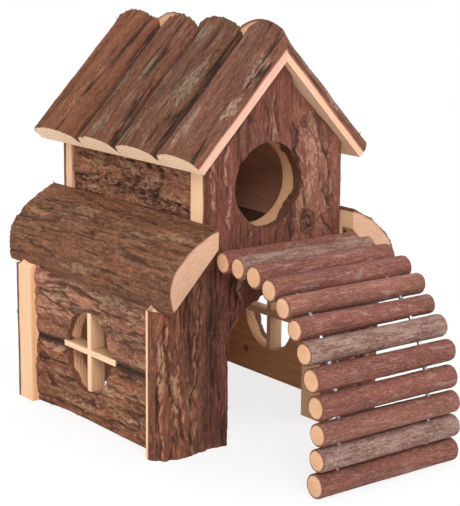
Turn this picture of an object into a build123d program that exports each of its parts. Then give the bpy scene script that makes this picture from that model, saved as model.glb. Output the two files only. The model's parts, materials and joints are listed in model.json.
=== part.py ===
"""A rodent house of bark-covered slabs, with a bendable ladder of bark sticks.

The frame is +Z up, millimetres, the front towards -Y. The origin is on the ground, in the middle of
the whole object's length and width. Every wall and roof piece is a slab sawn off a log: flat inside,
with bark on its rounded outside, so each has a thickness at its sawn edge and a larger one at its crown.
"""
import os
from math import cos, radians, sin, tan

from build123d import *

# Tower, the tall middle part
tower_width = 80.0
tower_depth = 120.6
front_wall_edge = 11.0
front_wall_crown = 4.6
front_wall_shoulder = 3.0
front_joint_x = 9.0
back_wall_edge = 7.0
back_wall_crown = 3.8
back_wall_shoulder = 2.4
back_joint_x = -7.0
side_wall_inset = 3.5
side_wall_edge = 5.0
side_wall_crown = 3.4
side_wall_shoulder = 2.2
floor_height = 91.0
floor_thickness = 5.0

# Gable roof over the tower
roof_apex_height = 177.5
roof_angle = 46.0
slope_length = 66.2
slat_edge = 5.0
slat_crown = 7.6
slat_shoulder = 5.2
slat_gap = 0.4
roof_front_overhang = 7.2
left_slat_widths = [31.5, 34.0, 33.0, 41.6]
right_slat_widths = [37.0, 32.5, 36.0, 34.6]

# Openings in the front wall
entrance_diameter = 39.5
entrance_x = -6.0
entrance_height = 121.2
doorway_width = 56.0
doorway_spring_height = 47.0
doorway_rise = 24.0

# Wings, the low parts on both sides
wing_width = 29.0
wing_front_inset = 4.7
wing_front_edge = 2.2
wing_front_corner_run = 8.0
wing_front_corner_rise = 7.2
wing_front_crown = 8.4
wing_front_joint = 6.0
wing_back_inset = 0.4
wing_back_edge = 13.6
wing_back_crown = 3.8
wing_back_shoulder = 2.6
window_wall_inset = 7.6
window_wall_edge = 6.9
window_wall_crown = 3.4
window_wall_shoulder = 2.2
lower_log_height = 35.0
window_diameter = 39.7
left_window_back = 63.0
right_window_back = 70.0

# Wing roofs, one leaning half log each
wing_roof_low_height = 69.4
wing_roof_low_inset = 3.5
wing_roof_angle = 46.5
wing_roof_cut_height = 10.1
wing_roof_shoulder_inset = 6.8
wing_roof_shoulder_rise = 23.4
wing_roof_side_swell = 2.0
wing_roof_top_swell = 2.0
wing_roof_front_overhang = 10.3
wing_roof_length = 141.8

# Window crosses, two half-lapped strips each
cross_thickness = 3.2
cross_depth = 8.0
cross_stand_out = 1.0
cross_tail = 3.0
cross_fit = 0.1

# Ladder of sticks on two bendable wires
ladder_side_inset = 1.1
stick_lengths = [77.6, 78.4, 79.8, 80.4, 80.6, 79.6, 80.6, 81.8, 79.8, 80.8, 81.2, 81.8]
stick_diameters = [10.2, 10.4, 11.0, 10.6, 10.8, 10.4, 10.6, 11.2, 10.8, 11.0, 10.8, 11.4]
stick_bends = [1.0, 4.0, 8.0, 12.0, 13.0, 12.0, 10.0, 9.0, 9.0, 9.0, 6.0, 3.0]
stick_gap = 0.6
wall_gap = 2.0
wire_diameter = 2.0
wire_inset = 12.0
wire_spacing = 53.0
wire_bore = 2.3
wire_depth_in_wall = 8.0
wire_bend_run = 2.0
wire_end_cover = 2.0

# Shape of a slab's rounded shoulders, as shares of their rise and, at the middle of each, of both
shoulder_run_share = 0.9
shoulder_mid_run = 0.32
shoulder_mid_rise = 0.70

# Brads, thin headless nails sunk under the bark
brad_diameter = 1.2
brad_length = 14.0
brad_fit = 0.05
roof_brad_down_slope = 47.5
wall_brad_spacing = 24.0
wall_brad_cover = 1.0
wing_brad_in_front = 4.5
wing_brad_in_back = 6.5

# Places along the ladder, with each stick's reach in front of the wall and its drop below the wires
ladder_headings = []
hinge_reach = [wall_gap / 2]
hinge_drop = [0.0]
stick_reach = []
stick_drop = []
heading = 0.0
first_gap = wall_gap
for stick_diameter, stick_bend in zip(stick_diameters, stick_bends):
    heading = heading + stick_bend
    near_half = (stick_diameter + first_gap) / 2
    far_half = (stick_diameter + stick_gap) / 2
    first_gap = stick_gap
    stick_reach.append(hinge_reach[-1] + near_half * cos(radians(heading)))
    stick_drop.append(hinge_drop[-1] + near_half * sin(radians(heading)))
    hinge_reach.append(stick_reach[-1] + far_half * cos(radians(heading)))
    hinge_drop.append(stick_drop[-1] + far_half * sin(radians(heading)))
    ladder_headings.append(heading)
ladder_reach = max(reach + width / 2 for reach, width in zip(stick_reach, stick_diameters))
wire_height = stick_drop[-1] + stick_diameters[-1] / 2

# Places in the house, which stands so that the whole object is centred on the origin
half_tower = tower_width / 2
wing_outer = half_tower + wing_width
slope_cos = cos(radians(roof_angle))
slope_sin = sin(radians(roof_angle))
front_length = ladder_reach + front_wall_crown
back_length = sum(left_slat_widths) - roof_front_overhang
front_y = (front_length - back_length) / 2
back_y = front_y + tower_depth
crown_y = front_y - front_wall_crown
front_inner_y = front_y + front_wall_edge
back_inner_y = back_y - back_wall_edge
side_outer = half_tower - side_wall_inset
side_inner = side_outer - side_wall_edge
floor_top = floor_height + floor_thickness
wing_front_inner_y = front_y + wing_front_inset
wing_back_outer_y = back_y - wing_back_inset
wing_back_inner_y = wing_back_outer_y - wing_back_edge
log_outer = wing_outer - window_wall_inset
log_inner = log_outer - window_wall_edge
wing_roof_low_x = wing_outer - wing_roof_low_inset
wing_roof_slope = tan(radians(wing_roof_angle))
wing_roof_front_y = front_y - wing_roof_front_overhang
ladder_left_x = ladder_side_inset - half_tower
wire_xs = [ladder_left_x + wire_inset, ladder_left_x + wire_inset + wire_spacing]
margin = 5.0

os.makedirs("parts", exist_ok=True)


def save(part, name):
    """Label a finished part and write it to its own file."""
    part.label = name
    export_step(part, f"parts/{name}.step")


def under_wing_roof(x):
    """Height of a wing roof's flat underside at a distance from the middle."""
    return wing_roof_low_height + (wing_roof_low_x - x) * wing_roof_slope


def bark_curve(start, end, outward, shoulder, crown):
    """Lines of a slab's rounded outside, from one sawn edge to the other, with a shoulder at each."""
    start = Vector(*start)
    end = Vector(*end)
    outward = Vector(*outward)
    along = (end - start).normalized()
    run = along * shoulder * shoulder_run_share
    rise = outward * shoulder
    first = start + run + rise
    last = end - run + rise
    first_middle = start + run * shoulder_mid_run + rise * shoulder_mid_rise
    last_middle = end - run * shoulder_mid_run + rise * shoulder_mid_rise
    ThreePointArc(start, first_middle, first)
    ThreePointArc(first, (start + end) / 2 + outward * crown, last)
    ThreePointArc(last, last_middle, end)


def gable_plane(side):
    """Underside of one roof slope; side is -1 for the left and 1 for the right."""
    return Plane(origin=(0, 0, roof_apex_height), x_dir=(0, 1, 0), z_dir=(side * slope_sin, 0, slope_cos))


def into_slope(side, angle):
    """Direction square to a slope of this angle, into the house."""
    return (-side * sin(radians(angle)), 0, -cos(radians(angle)))


def cut_gable():
    """Cut the part that is being built to the undersides of both roof slopes."""
    for side in (-1, 1):
        split(bisect_by=gable_plane(side), keep=Keep.BOTTOM)


def wire_bores_in_wall():
    """Bores for the ends of the two wires in the front wall."""
    with BuildSketch(Plane.XZ.offset(-crown_y)) as bores:
        for wire_x in wire_xs:
            with Locations((wire_x, wire_height)):
                Circle(wire_bore / 2)
    extrude(bores.sketch, amount=-(front_wall_crown + wire_depth_in_wall), mode=Mode.SUBTRACT)


# Brads, each named by the plane at its outer end, which faces the way it is driven
brad_planes = []
for side, widths in ((-1, left_slat_widths), (1, right_slat_widths)):
    slat_start = front_y - roof_front_overhang
    for width in widths:
        slat_middle = slat_start + width / 2
        brad_y = min(max(slat_middle, front_inner_y + margin), back_inner_y - margin)
        brad_x = side * (roof_brad_down_slope * slope_cos + slat_edge * slope_sin)
        brad_z = roof_apex_height - roof_brad_down_slope * slope_sin + slat_edge * slope_cos
        brad_planes.append(Plane(origin=(brad_x, brad_y, brad_z), z_dir=into_slope(side, roof_angle)))
        slat_start = slat_start + width
for side in (-1, 1):
    wall_brad_x = side * wall_brad_spacing / 2
    wall_brad_z = floor_height + floor_thickness / 2
    front_head = (wall_brad_x, front_y + wall_brad_cover, wall_brad_z)
    back_head = (wall_brad_x, back_y - wall_brad_cover, wall_brad_z)
    brad_planes.append(Plane(origin=front_head, z_dir=(0, 1, 0)))
    brad_planes.append(Plane(origin=back_head, z_dir=(0, -1, 0)))
    log_middle = (log_outer + log_inner) / 2
    upper_log_middle = (lower_log_height + under_wing_roof(log_middle)) / 2
    slab_middle = (half_tower + wing_roof_low_x) / 2
    over_slab = under_wing_roof(slab_middle) + wing_brad_in_front
    for height in (lower_log_height / 2, upper_log_middle):
        front_head = (side * log_middle, wing_front_inner_y - wing_brad_in_front, height)
        back_head = (side * log_middle, wing_back_inner_y + wing_brad_in_back, height)
        brad_planes.append(Plane(origin=front_head, z_dir=(0, 1, 0)))
        brad_planes.append(Plane(origin=back_head, z_dir=(0, -1, 0)))
    for brad_y in (wing_front_inner_y - wing_brad_in_front, wing_back_inner_y + wing_brad_in_back):
        head = (side * slab_middle, brad_y, over_slab)
        brad_planes.append(Plane(origin=head, z_dir=into_slope(side, wing_roof_angle)))


def brad_holes():
    """Cut every brad's hole out of the part that is being built."""
    for plane in brad_planes:
        with BuildSketch(plane.offset(-brad_fit)) as hole:
            Circle(brad_diameter / 2 + brad_fit)
        extrude(hole.sketch, amount=brad_length + 2 * brad_fit, mode=Mode.SUBTRACT)


with BuildPart() as brads:
    for plane in brad_planes:
        with BuildSketch(plane):
            Circle(brad_diameter / 2)
        extrude(amount=brad_length)
save(brads.part, "brads")


def upright_slab(name, left_x, right_x, front):
    """One slab of the tower's front or back wall, from the ground to the roof."""
    inner_y = front_inner_y if front else back_inner_y
    edge_y = front_y if front else back_y
    outward = (0, -1) if front else (0, 1)
    shoulder = front_wall_shoulder if front else back_wall_shoulder
    crown = front_wall_crown if front else back_wall_crown
    with BuildPart() as slab:
        with BuildSketch(Plane.XY):
            with BuildLine():
                bark_curve((left_x, edge_y), (right_x, edge_y), outward, shoulder, crown)
                Polyline((right_x, edge_y), (right_x, inner_y), (left_x, inner_y), (left_x, edge_y))
            make_face()
        extrude(amount=roof_apex_height)
        cut_gable()
        if front:
            with BuildSketch(Plane.XZ.offset(-front_inner_y - margin)):
                with Locations((entrance_x, entrance_height)):
                    Circle(entrance_diameter / 2)
                Rectangle(doorway_width, doorway_spring_height, align=(Align.CENTER, Align.MIN))
                with Locations((0, doorway_spring_height)):
                    Ellipse(doorway_width / 2, doorway_rise)
            extrude(amount=front_inner_y - crown_y + 2 * margin, mode=Mode.SUBTRACT)
            wire_bores_in_wall()
        brad_holes()
    save(slab.part, name)


upright_slab("front_wall_left_slab", -half_tower, front_joint_x, True)
upright_slab("front_wall_right_slab", front_joint_x, half_tower, True)
upright_slab("back_wall_left_slab", -half_tower, back_joint_x, False)
upright_slab("back_wall_right_slab", back_joint_x, half_tower, False)

with BuildPart() as upper_floor:
    with BuildSketch(Plane.XY.offset(floor_height)):
        with Locations((0, front_inner_y)):
            Rectangle(tower_width, back_inner_y - front_inner_y, align=(Align.CENTER, Align.MIN))
    extrude(amount=floor_thickness)
    brad_holes()
save(upper_floor.part, "upper_floor")


def tower_side_wall(name, side):
    """Horizontal slab between the front and back walls, from the upper floor to the roof."""
    top = roof_apex_height - side_outer * slope_sin / slope_cos
    outer = side * side_outer
    inner = side * side_inner
    over_inner = roof_apex_height
    with BuildPart() as wall:
        with BuildSketch(Plane.XZ.offset(-back_inner_y)):
            with BuildLine():
                bark_curve((outer, floor_top), (outer, top), (side, 0), side_wall_shoulder, side_wall_crown)
                Polyline((outer, top), (inner, over_inner), (inner, floor_top), (outer, floor_top))
            make_face()
        extrude(amount=back_inner_y - front_inner_y)
        split(bisect_by=gable_plane(side), keep=Keep.BOTTOM)
        brad_holes()
    save(wall.part, name)


def roof_slat(name, side, start_y, end_y):
    """One half-log slat from the ridge to the eave, square at the eave and plumb at the ridge."""
    down_slope = (side * slope_cos, 0, -slope_sin)
    profile = Plane(origin=(0, 0, roof_apex_height), x_dir=(0, side, 0), z_dir=down_slope)
    low = side * start_y
    high = side * end_y
    with BuildPart() as slat:
        with BuildSketch(profile.offset(-slat_edge - slat_crown)):
            with BuildLine():
                bark_curve((low, slat_edge), (high, slat_edge), (0, 1), slat_shoulder, slat_crown)
                Polyline((high, slat_edge), (high, 0), (low, 0), (low, slat_edge))
            make_face()
        extrude(amount=slope_length + slat_edge + slat_crown)
        split(bisect_by=Plane.YZ, keep=Keep.TOP if side > 0 else Keep.BOTTOM)
        brad_holes()
    save(slat.part, name)


def wing_front_slab(name, side):
    """Upright slab beside the tower's front wall, thin at its outer edge."""
    outer = side * wing_outer
    corner = side * (wing_outer - wing_front_corner_run)
    joint = side * half_tower
    edge_y = wing_front_inner_y - wing_front_edge
    corner_y = edge_y - wing_front_corner_rise
    joint_y = edge_y - wing_front_joint
    corner_middle_x = outer - side * wing_front_corner_run * shoulder_mid_run
    corner_middle = (corner_middle_x, edge_y - wing_front_corner_rise * shoulder_mid_rise)
    crown_middle = ((corner + joint) / 2, edge_y - wing_front_crown)
    with BuildPart() as slab:
        with BuildSketch(Plane.XY):
            with BuildLine():
                Polyline((joint, joint_y), (joint, wing_front_inner_y), (outer, wing_front_inner_y), (outer, edge_y))
                ThreePointArc((outer, edge_y), corner_middle, (corner, corner_y))
                ThreePointArc((corner, corner_y), crown_middle, (joint, joint_y))
            make_face()
        extrude(amount=roof_apex_height)
        under_roof(side)
        brad_holes()
    save(slab.part, name)


def wing_back_slab(name, side):
    """Upright slab beside the tower's back wall, thick at its outer edge."""
    outer = side * wing_outer
    joint = side * half_tower
    with BuildPart() as slab:
        with BuildSketch(Plane.XY):
            with BuildLine():
                corners = (outer, wing_back_outer_y), (joint, wing_back_outer_y)
                bark_curve(*corners, (0, 1), wing_back_shoulder, wing_back_crown)
                Polyline(
                    (joint, wing_back_outer_y),
                    (joint, wing_back_inner_y),
                    (outer, wing_back_inner_y),
                    (outer, wing_back_outer_y),
                )
            make_face()
        extrude(amount=roof_apex_height)
        under_roof(side)
        brad_holes()
    save(slab.part, name)


def under_roof(side):
    """Cut the part that is being built to the wing roof's flat underside, level beyond its low edge."""
    joint = side * half_tower
    far = side * (wing_outer + margin)
    with BuildSketch(Plane.XZ.offset(-back_y - 2 * margin)) as over_slab:
        with BuildLine():
            Polyline(
                (joint, under_wing_roof(half_tower)),
                (side * wing_roof_low_x, wing_roof_low_height),
                (far, wing_roof_low_height),
                (far, roof_apex_height + margin),
                (joint, roof_apex_height + margin),
                close=True,
            )
        make_face()
    extrude(over_slab.sketch, amount=tower_depth + 6 * margin, mode=Mode.SUBTRACT)


def window_log(name, side, bottom, top, window_y):
    """One horizontal half log of a window wall, with its half of the round window."""
    outer = side * log_outer
    inner = side * log_inner
    top_outer = min(top, under_wing_roof(log_outer))
    top_inner = min(top, under_wing_roof(log_inner))
    with BuildPart() as log:
        with BuildSketch(Plane.XZ.offset(-wing_back_inner_y)):
            with BuildLine():
                bark_curve((outer, bottom), (outer, top_outer), (side, 0), window_wall_shoulder, window_wall_crown)
                Polyline((outer, top_outer), (inner, top_inner), (inner, bottom), (outer, bottom))
            make_face()
        extrude(amount=wing_back_inner_y - wing_front_inner_y)
        with BuildSketch(Plane.YZ.offset(side * log_inner - side * margin)):
            with Locations((window_y, lower_log_height)):
                Circle(window_diameter / 2)
        extrude(amount=side * (window_wall_edge + window_wall_crown + 2 * margin), mode=Mode.SUBTRACT)
        with BuildSketch(Plane.YZ.offset(side * (log_outer + window_wall_crown + margin))):
            with Locations((window_y, lower_log_height)):
                Rectangle(window_diameter + 2 * cross_tail, cross_thickness)
        slot_depth = window_wall_crown + margin - cross_stand_out + cross_depth
        extrude(amount=-side * slot_depth, mode=Mode.SUBTRACT)
        under_roof(side)
        brad_holes()
    save(log.part, name)


def cross_strips(prefix, side, window_y):
    """The upright and the rail of one window's cross, each notched by half where they meet."""
    face = side * (log_outer + cross_stand_out)
    notch_width = cross_thickness + 2 * cross_fit
    with BuildPart() as upright:
        with BuildSketch(Plane.YZ.offset(face)):
            with Locations((window_y, lower_log_height)):
                Circle(window_diameter / 2 - cross_fit)
                Rectangle(cross_thickness, window_diameter, mode=Mode.INTERSECT)
        extrude(amount=-side * cross_depth)
        with BuildSketch(Plane.YZ.offset(face - side * (cross_depth + margin))):
            with Locations((window_y, lower_log_height)):
                Rectangle(cross_thickness + margin, notch_width)
        extrude(amount=side * (cross_depth / 2 + margin), mode=Mode.SUBTRACT)
    save(upright.part, f"{prefix}_cross_upright")
    with BuildPart() as rail:
        with BuildSketch(Plane.YZ.offset(face)):
            with Locations((window_y, lower_log_height)):
                Rectangle(window_diameter + 2 * cross_tail - 2 * cross_fit, cross_thickness - 2 * cross_fit)
        extrude(amount=-side * (cross_depth - cross_fit))
        with BuildSketch(Plane.YZ.offset(face + side * margin)):
            with Locations((window_y, lower_log_height)):
                Rectangle(notch_width, cross_thickness + margin)
        extrude(amount=-side * (margin + cross_depth / 2 + cross_fit), mode=Mode.SUBTRACT)
    save(rail.part, f"{prefix}_cross_rail")


def wing_roof_slab(name, side):
    """Leaning half log from the tower's side out over the window wall."""
    low = (side * wing_roof_low_x, wing_roof_low_height)
    cut_low = (side * half_tower, under_wing_roof(half_tower))
    cut_high = (side * half_tower, cut_low[1] + wing_roof_cut_height)
    shoulder_x = wing_outer - wing_roof_shoulder_inset
    shoulder = (side * shoulder_x, wing_roof_low_height + wing_roof_shoulder_rise)
    side_middle = (side * (wing_roof_low_x + wing_roof_side_swell), (low[1] + shoulder[1]) / 2)
    top_middle = (side * (shoulder_x + half_tower) / 2, (shoulder[1] + cut_high[1]) / 2 + wing_roof_top_swell)
    with BuildPart() as slab:
        with BuildSketch(Plane.XZ.offset(-wing_roof_front_y)):
            with BuildLine():
                Polyline(cut_high, cut_low, low)
                ThreePointArc(low, side_middle, shoulder)
                ThreePointArc(shoulder, top_middle, cut_high)
            make_face()
        extrude(amount=-wing_roof_length)
        brad_holes()
    save(slab.part, name)


for side, side_name, slat_widths, window_back in (
    (-1, "left", left_slat_widths, left_window_back),
    (1, "right", right_slat_widths, right_window_back),
):
    window_y = front_y + window_back
    tower_side_wall(f"tower_{side_name}_side_wall", side)
    slat_start = front_y - roof_front_overhang
    for number, slat_width in enumerate(slat_widths, start=1):
        slat_end = slat_start + slat_width
        roof_slat(f"roof_{side_name}_slat_{number}", side, slat_start, slat_end - slat_gap)
        slat_start = slat_end
    wing_front_slab(f"{side_name}_wing_front_slab", side)
    wing_back_slab(f"{side_name}_wing_back_slab", side)
    window_log(f"{side_name}_window_lower_log", side, 0, lower_log_height, window_y)
    window_log(f"{side_name}_window_upper_log", side, lower_log_height, roof_apex_height, window_y)
    cross_strips(f"{side_name}_window", side, window_y)
    wing_roof_slab(f"{side_name}_wing_roof_slab", side)

# Ladder sticks, bored for the two wires
for index, diameter in enumerate(stick_diameters):
    stick_y = crown_y - stick_reach[index]
    stick_z = wire_height - stick_drop[index]
    angle = radians(ladder_headings[index])
    with BuildPart() as stick:
        with BuildSketch(Plane.YZ.offset(ladder_left_x)):
            with Locations((stick_y, stick_z)):
                Circle(diameter / 2)
        extrude(amount=stick_lengths[index])
        for wire_x in wire_xs:
            bore_axis = Plane(origin=(wire_x, stick_y, stick_z), z_dir=(0, -cos(angle), -sin(angle)))
            with BuildSketch(bore_axis):
                Circle(wire_bore / 2)
            extrude(amount=diameter, both=True, mode=Mode.SUBTRACT)
    save(stick.part, f"ladder_stick_{index + 1:02d}")

# Wires, straight in every stick and bent between them
for side_name, wire_x in zip(("left", "right"), wire_xs):
    route = [(crown_y + front_wall_crown + wire_depth_in_wall - wire_end_cover, wire_height)]
    radii = []
    for index, bend in enumerate(stick_bends):
        route.append((crown_y - hinge_reach[index], wire_height - hinge_drop[index]))
        radii.append(wire_bend_run / tan(radians(bend) / 2))
    last_length = stick_diameters[-1] + stick_gap / 2 - wire_end_cover
    last_angle = radians(ladder_headings[-1])
    last_y = route[-1][0] - last_length * cos(last_angle)
    route.append((last_y, route[-1][1] - last_length * sin(last_angle)))
    with BuildPart() as wire:
        with BuildLine(Plane.YZ.offset(wire_x)):
            FilletPolyline(*route, radius=radii)
        with BuildSketch(Plane(origin=(wire_x, *route[0]), x_dir=(1, 0, 0), z_dir=(0, -1, 0))):
            Circle(wire_diameter / 2)
        sweep()
    save(wire.part, f"bridge_wire_{side_name}")
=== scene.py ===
"""Dresses the rodent house: bark slabs with their relief, sawn wood, window crosses, sticks and wires.

The classes hold sizes in millimetres, as a maker reads them off a ruler, and the meshes are in metres.
A slab is built in its own log's terms: along the grain, across it, and out from its flat sawn face.
"""
import json
import logging
import math
from collections.abc import Callable, Iterator, Sequence
from contextlib import contextmanager
from dataclasses import asdict, dataclass, field
from enum import Enum
from types import SimpleNamespace

import bmesh
import bpy
import numpy as np
from mathutils import Matrix, Vector

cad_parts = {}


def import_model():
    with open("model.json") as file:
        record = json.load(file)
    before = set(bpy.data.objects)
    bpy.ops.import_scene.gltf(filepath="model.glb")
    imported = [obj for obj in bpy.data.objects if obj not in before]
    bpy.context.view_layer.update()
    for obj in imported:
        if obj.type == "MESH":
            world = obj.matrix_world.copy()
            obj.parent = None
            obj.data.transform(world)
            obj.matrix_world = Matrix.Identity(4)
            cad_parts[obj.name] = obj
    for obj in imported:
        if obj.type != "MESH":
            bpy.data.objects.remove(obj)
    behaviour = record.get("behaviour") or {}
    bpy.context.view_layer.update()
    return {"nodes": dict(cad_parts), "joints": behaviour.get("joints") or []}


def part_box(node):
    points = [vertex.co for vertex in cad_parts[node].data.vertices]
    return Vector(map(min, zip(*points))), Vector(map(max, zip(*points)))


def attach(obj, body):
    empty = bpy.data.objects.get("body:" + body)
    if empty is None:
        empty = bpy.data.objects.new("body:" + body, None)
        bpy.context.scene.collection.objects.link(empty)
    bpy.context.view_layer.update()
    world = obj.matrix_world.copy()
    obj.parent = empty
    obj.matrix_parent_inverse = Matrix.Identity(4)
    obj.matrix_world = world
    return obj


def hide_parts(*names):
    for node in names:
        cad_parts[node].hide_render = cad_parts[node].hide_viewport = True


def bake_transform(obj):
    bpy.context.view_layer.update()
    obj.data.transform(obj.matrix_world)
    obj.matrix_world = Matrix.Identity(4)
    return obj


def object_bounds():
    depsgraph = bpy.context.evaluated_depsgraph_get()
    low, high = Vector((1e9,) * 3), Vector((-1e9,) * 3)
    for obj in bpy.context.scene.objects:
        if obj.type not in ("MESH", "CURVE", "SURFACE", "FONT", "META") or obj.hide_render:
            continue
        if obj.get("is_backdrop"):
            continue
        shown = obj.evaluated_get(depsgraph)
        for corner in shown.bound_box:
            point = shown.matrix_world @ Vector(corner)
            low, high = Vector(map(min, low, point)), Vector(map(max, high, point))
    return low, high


log = logging.getLogger("rodent_house")
MM = 0.001
X, Y = range(2)
POINT_SPACING = 0.6
ROW_DEPTHS = (0.9, 1.8, 2.7, 3.8)
DEEPEST_RELIEF = 2.6
DEEPEST_GROOVE = 3.9
HEAD_FADE = 9.0
RIM_FADE = 5.0
LEAN_FADE = 10.0
BEHIND_FACE = -4.0
SIDES = ((-1, "left"), (1, "right"))
Array = np.ndarray
Arrays = tuple[Array, Array]
Color = tuple[int, int, int]
Material, Mesh, Object = bpy.types.Material, bpy.types.Mesh, bpy.types.Object
Limits = Callable[[Array, Array], Arrays]


class Kind(Enum):
    """The kinds of a node group's inputs and outputs."""

    NUMBER = "NodeSocketFloat"
    WHOLE = "NodeSocketInt"
    VECTOR = "NodeSocketVector"
    COLOR = "NodeSocketColor"
    MATERIAL = "NodeSocketMaterial"
    SHAPE = "NodeSocketGeometry"


class Attribute(Enum):
    """Names of what the meshes tell their materials and their relief."""

    PLACE = "log_place"
    DEPTH = "bark_depth"
    BARK_PLACE = "bark_place"
    INWARD = "bark_inward"
    RELIEF = "bark_relief"
    CRACK = "bark_crack"
    LAYER = "bark_layer"
    LIP = "bark_lip"
    KNOT = "bark_knot"
    PATCH = "bark_patch"
    GROOVE = "bark_groove"
    RIM = "bark_rim"
    FIBRE = "is_fibre"
    SURFACE = "surface"
    SHARP_EDGE = "sharp_edge"


class Surface(Enum):
    """Which of a slab's surfaces a face belongs to."""

    BARK = 0
    SAWN = 1
    INNER = 2
    HEAD = 3
    TAIL = 4


# Node trees


def reckoning(operation: str, is_turned: bool = False) -> Callable[["Value", object], "Value"]:
    """Return a method for one step of a sum, with the other value first where it is turned."""

    def reckon(own: "Value", other: object) -> "Value":
        """Return the step's result."""
        return own.graph.reckon(operation, *((other, own) if is_turned else (own, other)))

    return reckon


@dataclass(frozen=True)
class Value:
    """One output of a node, on which sums are written as on plain numbers."""

    graph: "Graph"
    socket: bpy.types.NodeSocket

    __add__ = reckoning("ADD")
    __sub__ = reckoning("SUBTRACT")
    __rsub__ = reckoning("SUBTRACT", is_turned=True)
    __mul__ = reckoning("MULTIPLY")
    __truediv__ = reckoning("DIVIDE")
    __rtruediv__ = reckoning("DIVIDE", is_turned=True)
    at_most = reckoning("MINIMUM")
    at_least = reckoning("MAXIMUM")

    def ramp(self, low: float, high: float, to_low: float = 0, to_high: float = 1) -> "Value":
        """Return this carried smoothly from one range to another, and held at its ends."""
        inputs = {0: self, 1: low, 2: high, 3: to_low, 4: to_high}
        return self.graph.out("ShaderNodeMapRange", inputs, interpolation_type="SMOOTHSTEP", clamp=True)

    def mixed(self, share: object, over: object) -> "Value":
        """Return this colour with a share of another laid over it."""
        return self.graph.mix(share, self, over)

    def noise(
        self, along: float, around: float, layers: float = 2, rough: float = 0.5, shift: float = 0
    ) -> "Value":
        """Read cloudy noise at this place.

        Args:
            along: The blotches' length, in the unit of the place.
            around: Their width and height.
            layers: How many finer layers the noise has.
            rough: How strong the finer layers are.
            shift: Moves the pattern, so that two noises of one size differ.

        Returns:
            A number from 0 to 1.
        """
        place = self * (1 / along, 1 / around, 1 / around) + (shift, shift * 1.7, shift * 0.6)
        inputs = {"Vector": place, "Scale": 1, "Detail": layers, "Roughness": rough}
        return self.graph.out("ShaderNodeTexNoise", inputs)


class Graph:
    """Adds nodes to one tree."""

    def __init__(self, tree: bpy.types.NodeTree) -> None:
        """Keep the tree that the nodes go into."""
        self.tree = tree

    def feed(self, socket: bpy.types.NodeSocket, value: object) -> None:
        """Link a value to an input, or set the input's own, with one number for all parts of a vector."""
        if isinstance(value, Value):
            self.tree.links.new(value.socket, socket)
        elif socket.type == "VECTOR" and isinstance(value, (int, float)):
            socket.default_value = (value, value, value)
        else:
            socket.default_value = value

    def add(self, kind: str, inputs: dict | None = None, **settings: object) -> bpy.types.Node:
        """Add one node.

        Args:
            kind: The node's type name.
            inputs: What goes into it, by the input's name or number.
            settings: The node's own properties.

        Returns:
            The node.
        """
        node = self.tree.nodes.new(kind)
        for name, value in settings.items():
            setattr(node, name, value)
        for key, value in (inputs or {}).items():
            self.feed(node.inputs[key], value)
        return node

    def out(self, kind: str, inputs: dict | None = None, pick: int | str = 0, **settings: object) -> Value:
        """Add one node, and return the output that is picked."""
        return Value(self, self.add(kind, inputs, **settings).outputs[pick])

    def named(self, node: bpy.types.Node) -> SimpleNamespace:
        """Return a node's outputs by their names in lower case."""
        return SimpleNamespace(**{socket.name.lower(): Value(self, socket) for socket in node.outputs})

    def reckon(self, operation: str, *values: object, clamp: bool = False) -> Value:
        """Work out one step of a sum.

        Args:
            operation: The step's name.
            values: What goes into it: values, plain numbers or vectors.
            clamp: Whether the result is held between 0 and 1.

        Returns:
            The result, which is a vector where one of the values is one, except for a length.
        """
        inputs = dict(enumerate(values))
        sockets = [value.socket.type for value in values if isinstance(value, Value)]
        if "VECTOR" in sockets or any(isinstance(value, tuple) for value in values):
            pick = "Value" if operation == "LENGTH" else 0
            return self.out("ShaderNodeVectorMath", inputs, pick=pick, operation=operation)
        return self.out("ShaderNodeMath", inputs, operation=operation, use_clamp=clamp)

    def mix(self, share: object, under: object, over: object) -> Value:
        """Return a colour with a share of another laid over it."""
        return self.out("ShaderNodeMix", {0: share, 6: under, 7: over}, pick=2, data_type="RGBA")

    def join(self, *numbers: object) -> Value:
        """Return a vector made of three numbers."""
        return self.out("ShaderNodeCombineXYZ", dict(enumerate(numbers)))

    def split(self, vector: Value) -> list[Value]:
        """Return a vector's three numbers."""
        return [Value(self, socket) for socket in self.add("ShaderNodeSeparateXYZ", {0: vector}).outputs]

    def call(self, group: "Group", **inputs: object) -> SimpleNamespace:
        """Use a node group, and return its outputs by name."""
        kind = group.tree.bl_idname.replace("Tree", "Group")
        return self.named(self.add(kind, inputs, node_tree=group.tree))


class Group(Graph):
    """A node group with named inputs and outputs."""

    def __init__(self, name: str, kind: str, inputs: dict[Kind, str], outputs: dict[Kind, str]) -> None:
        """Start the group.

        Args:
            name: The group's name.
            kind: ShaderNodeTree or GeometryNodeTree.
            inputs: The names of its inputs, parted by blanks, by their kind.
            outputs: The names of its outputs in the same way.
        """
        super().__init__(bpy.data.node_groups.new(name, kind))
        for ports, direction in ((inputs, "INPUT"), (outputs, "OUTPUT")):
            for socket_kind, names in ports.items():
                for port in names.split():
                    self.tree.interface.new_socket(port, in_out=direction, socket_type=socket_kind.value)
        self.given = self.named(self.add("NodeGroupInput"))

    def give(self, **results: object) -> "Group":
        """End the group with its results, and return it."""
        self.add("NodeGroupOutput", results)
        return self


def srgb(color: Color) -> tuple[float, float, float, float]:
    """Return the linear colour of a screen colour given in 0 to 255."""
    shares = [channel / 255 for channel in color]
    linear = [share / 12.92 if share <= 0.04045 else ((share + 0.055) / 1.055) ** 2.4 for share in shares]
    return (*linear, 1.0)


# Finishes


TONE = {Kind.COLOR: "color", Kind.NUMBER: "roughness height"}
BARK_MARKS = (
    Attribute.RELIEF, Attribute.CRACK, Attribute.LAYER, Attribute.LIP, Attribute.KNOT, Attribute.PATCH,
    Attribute.GROOVE, Attribute.RIM,
)


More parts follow.
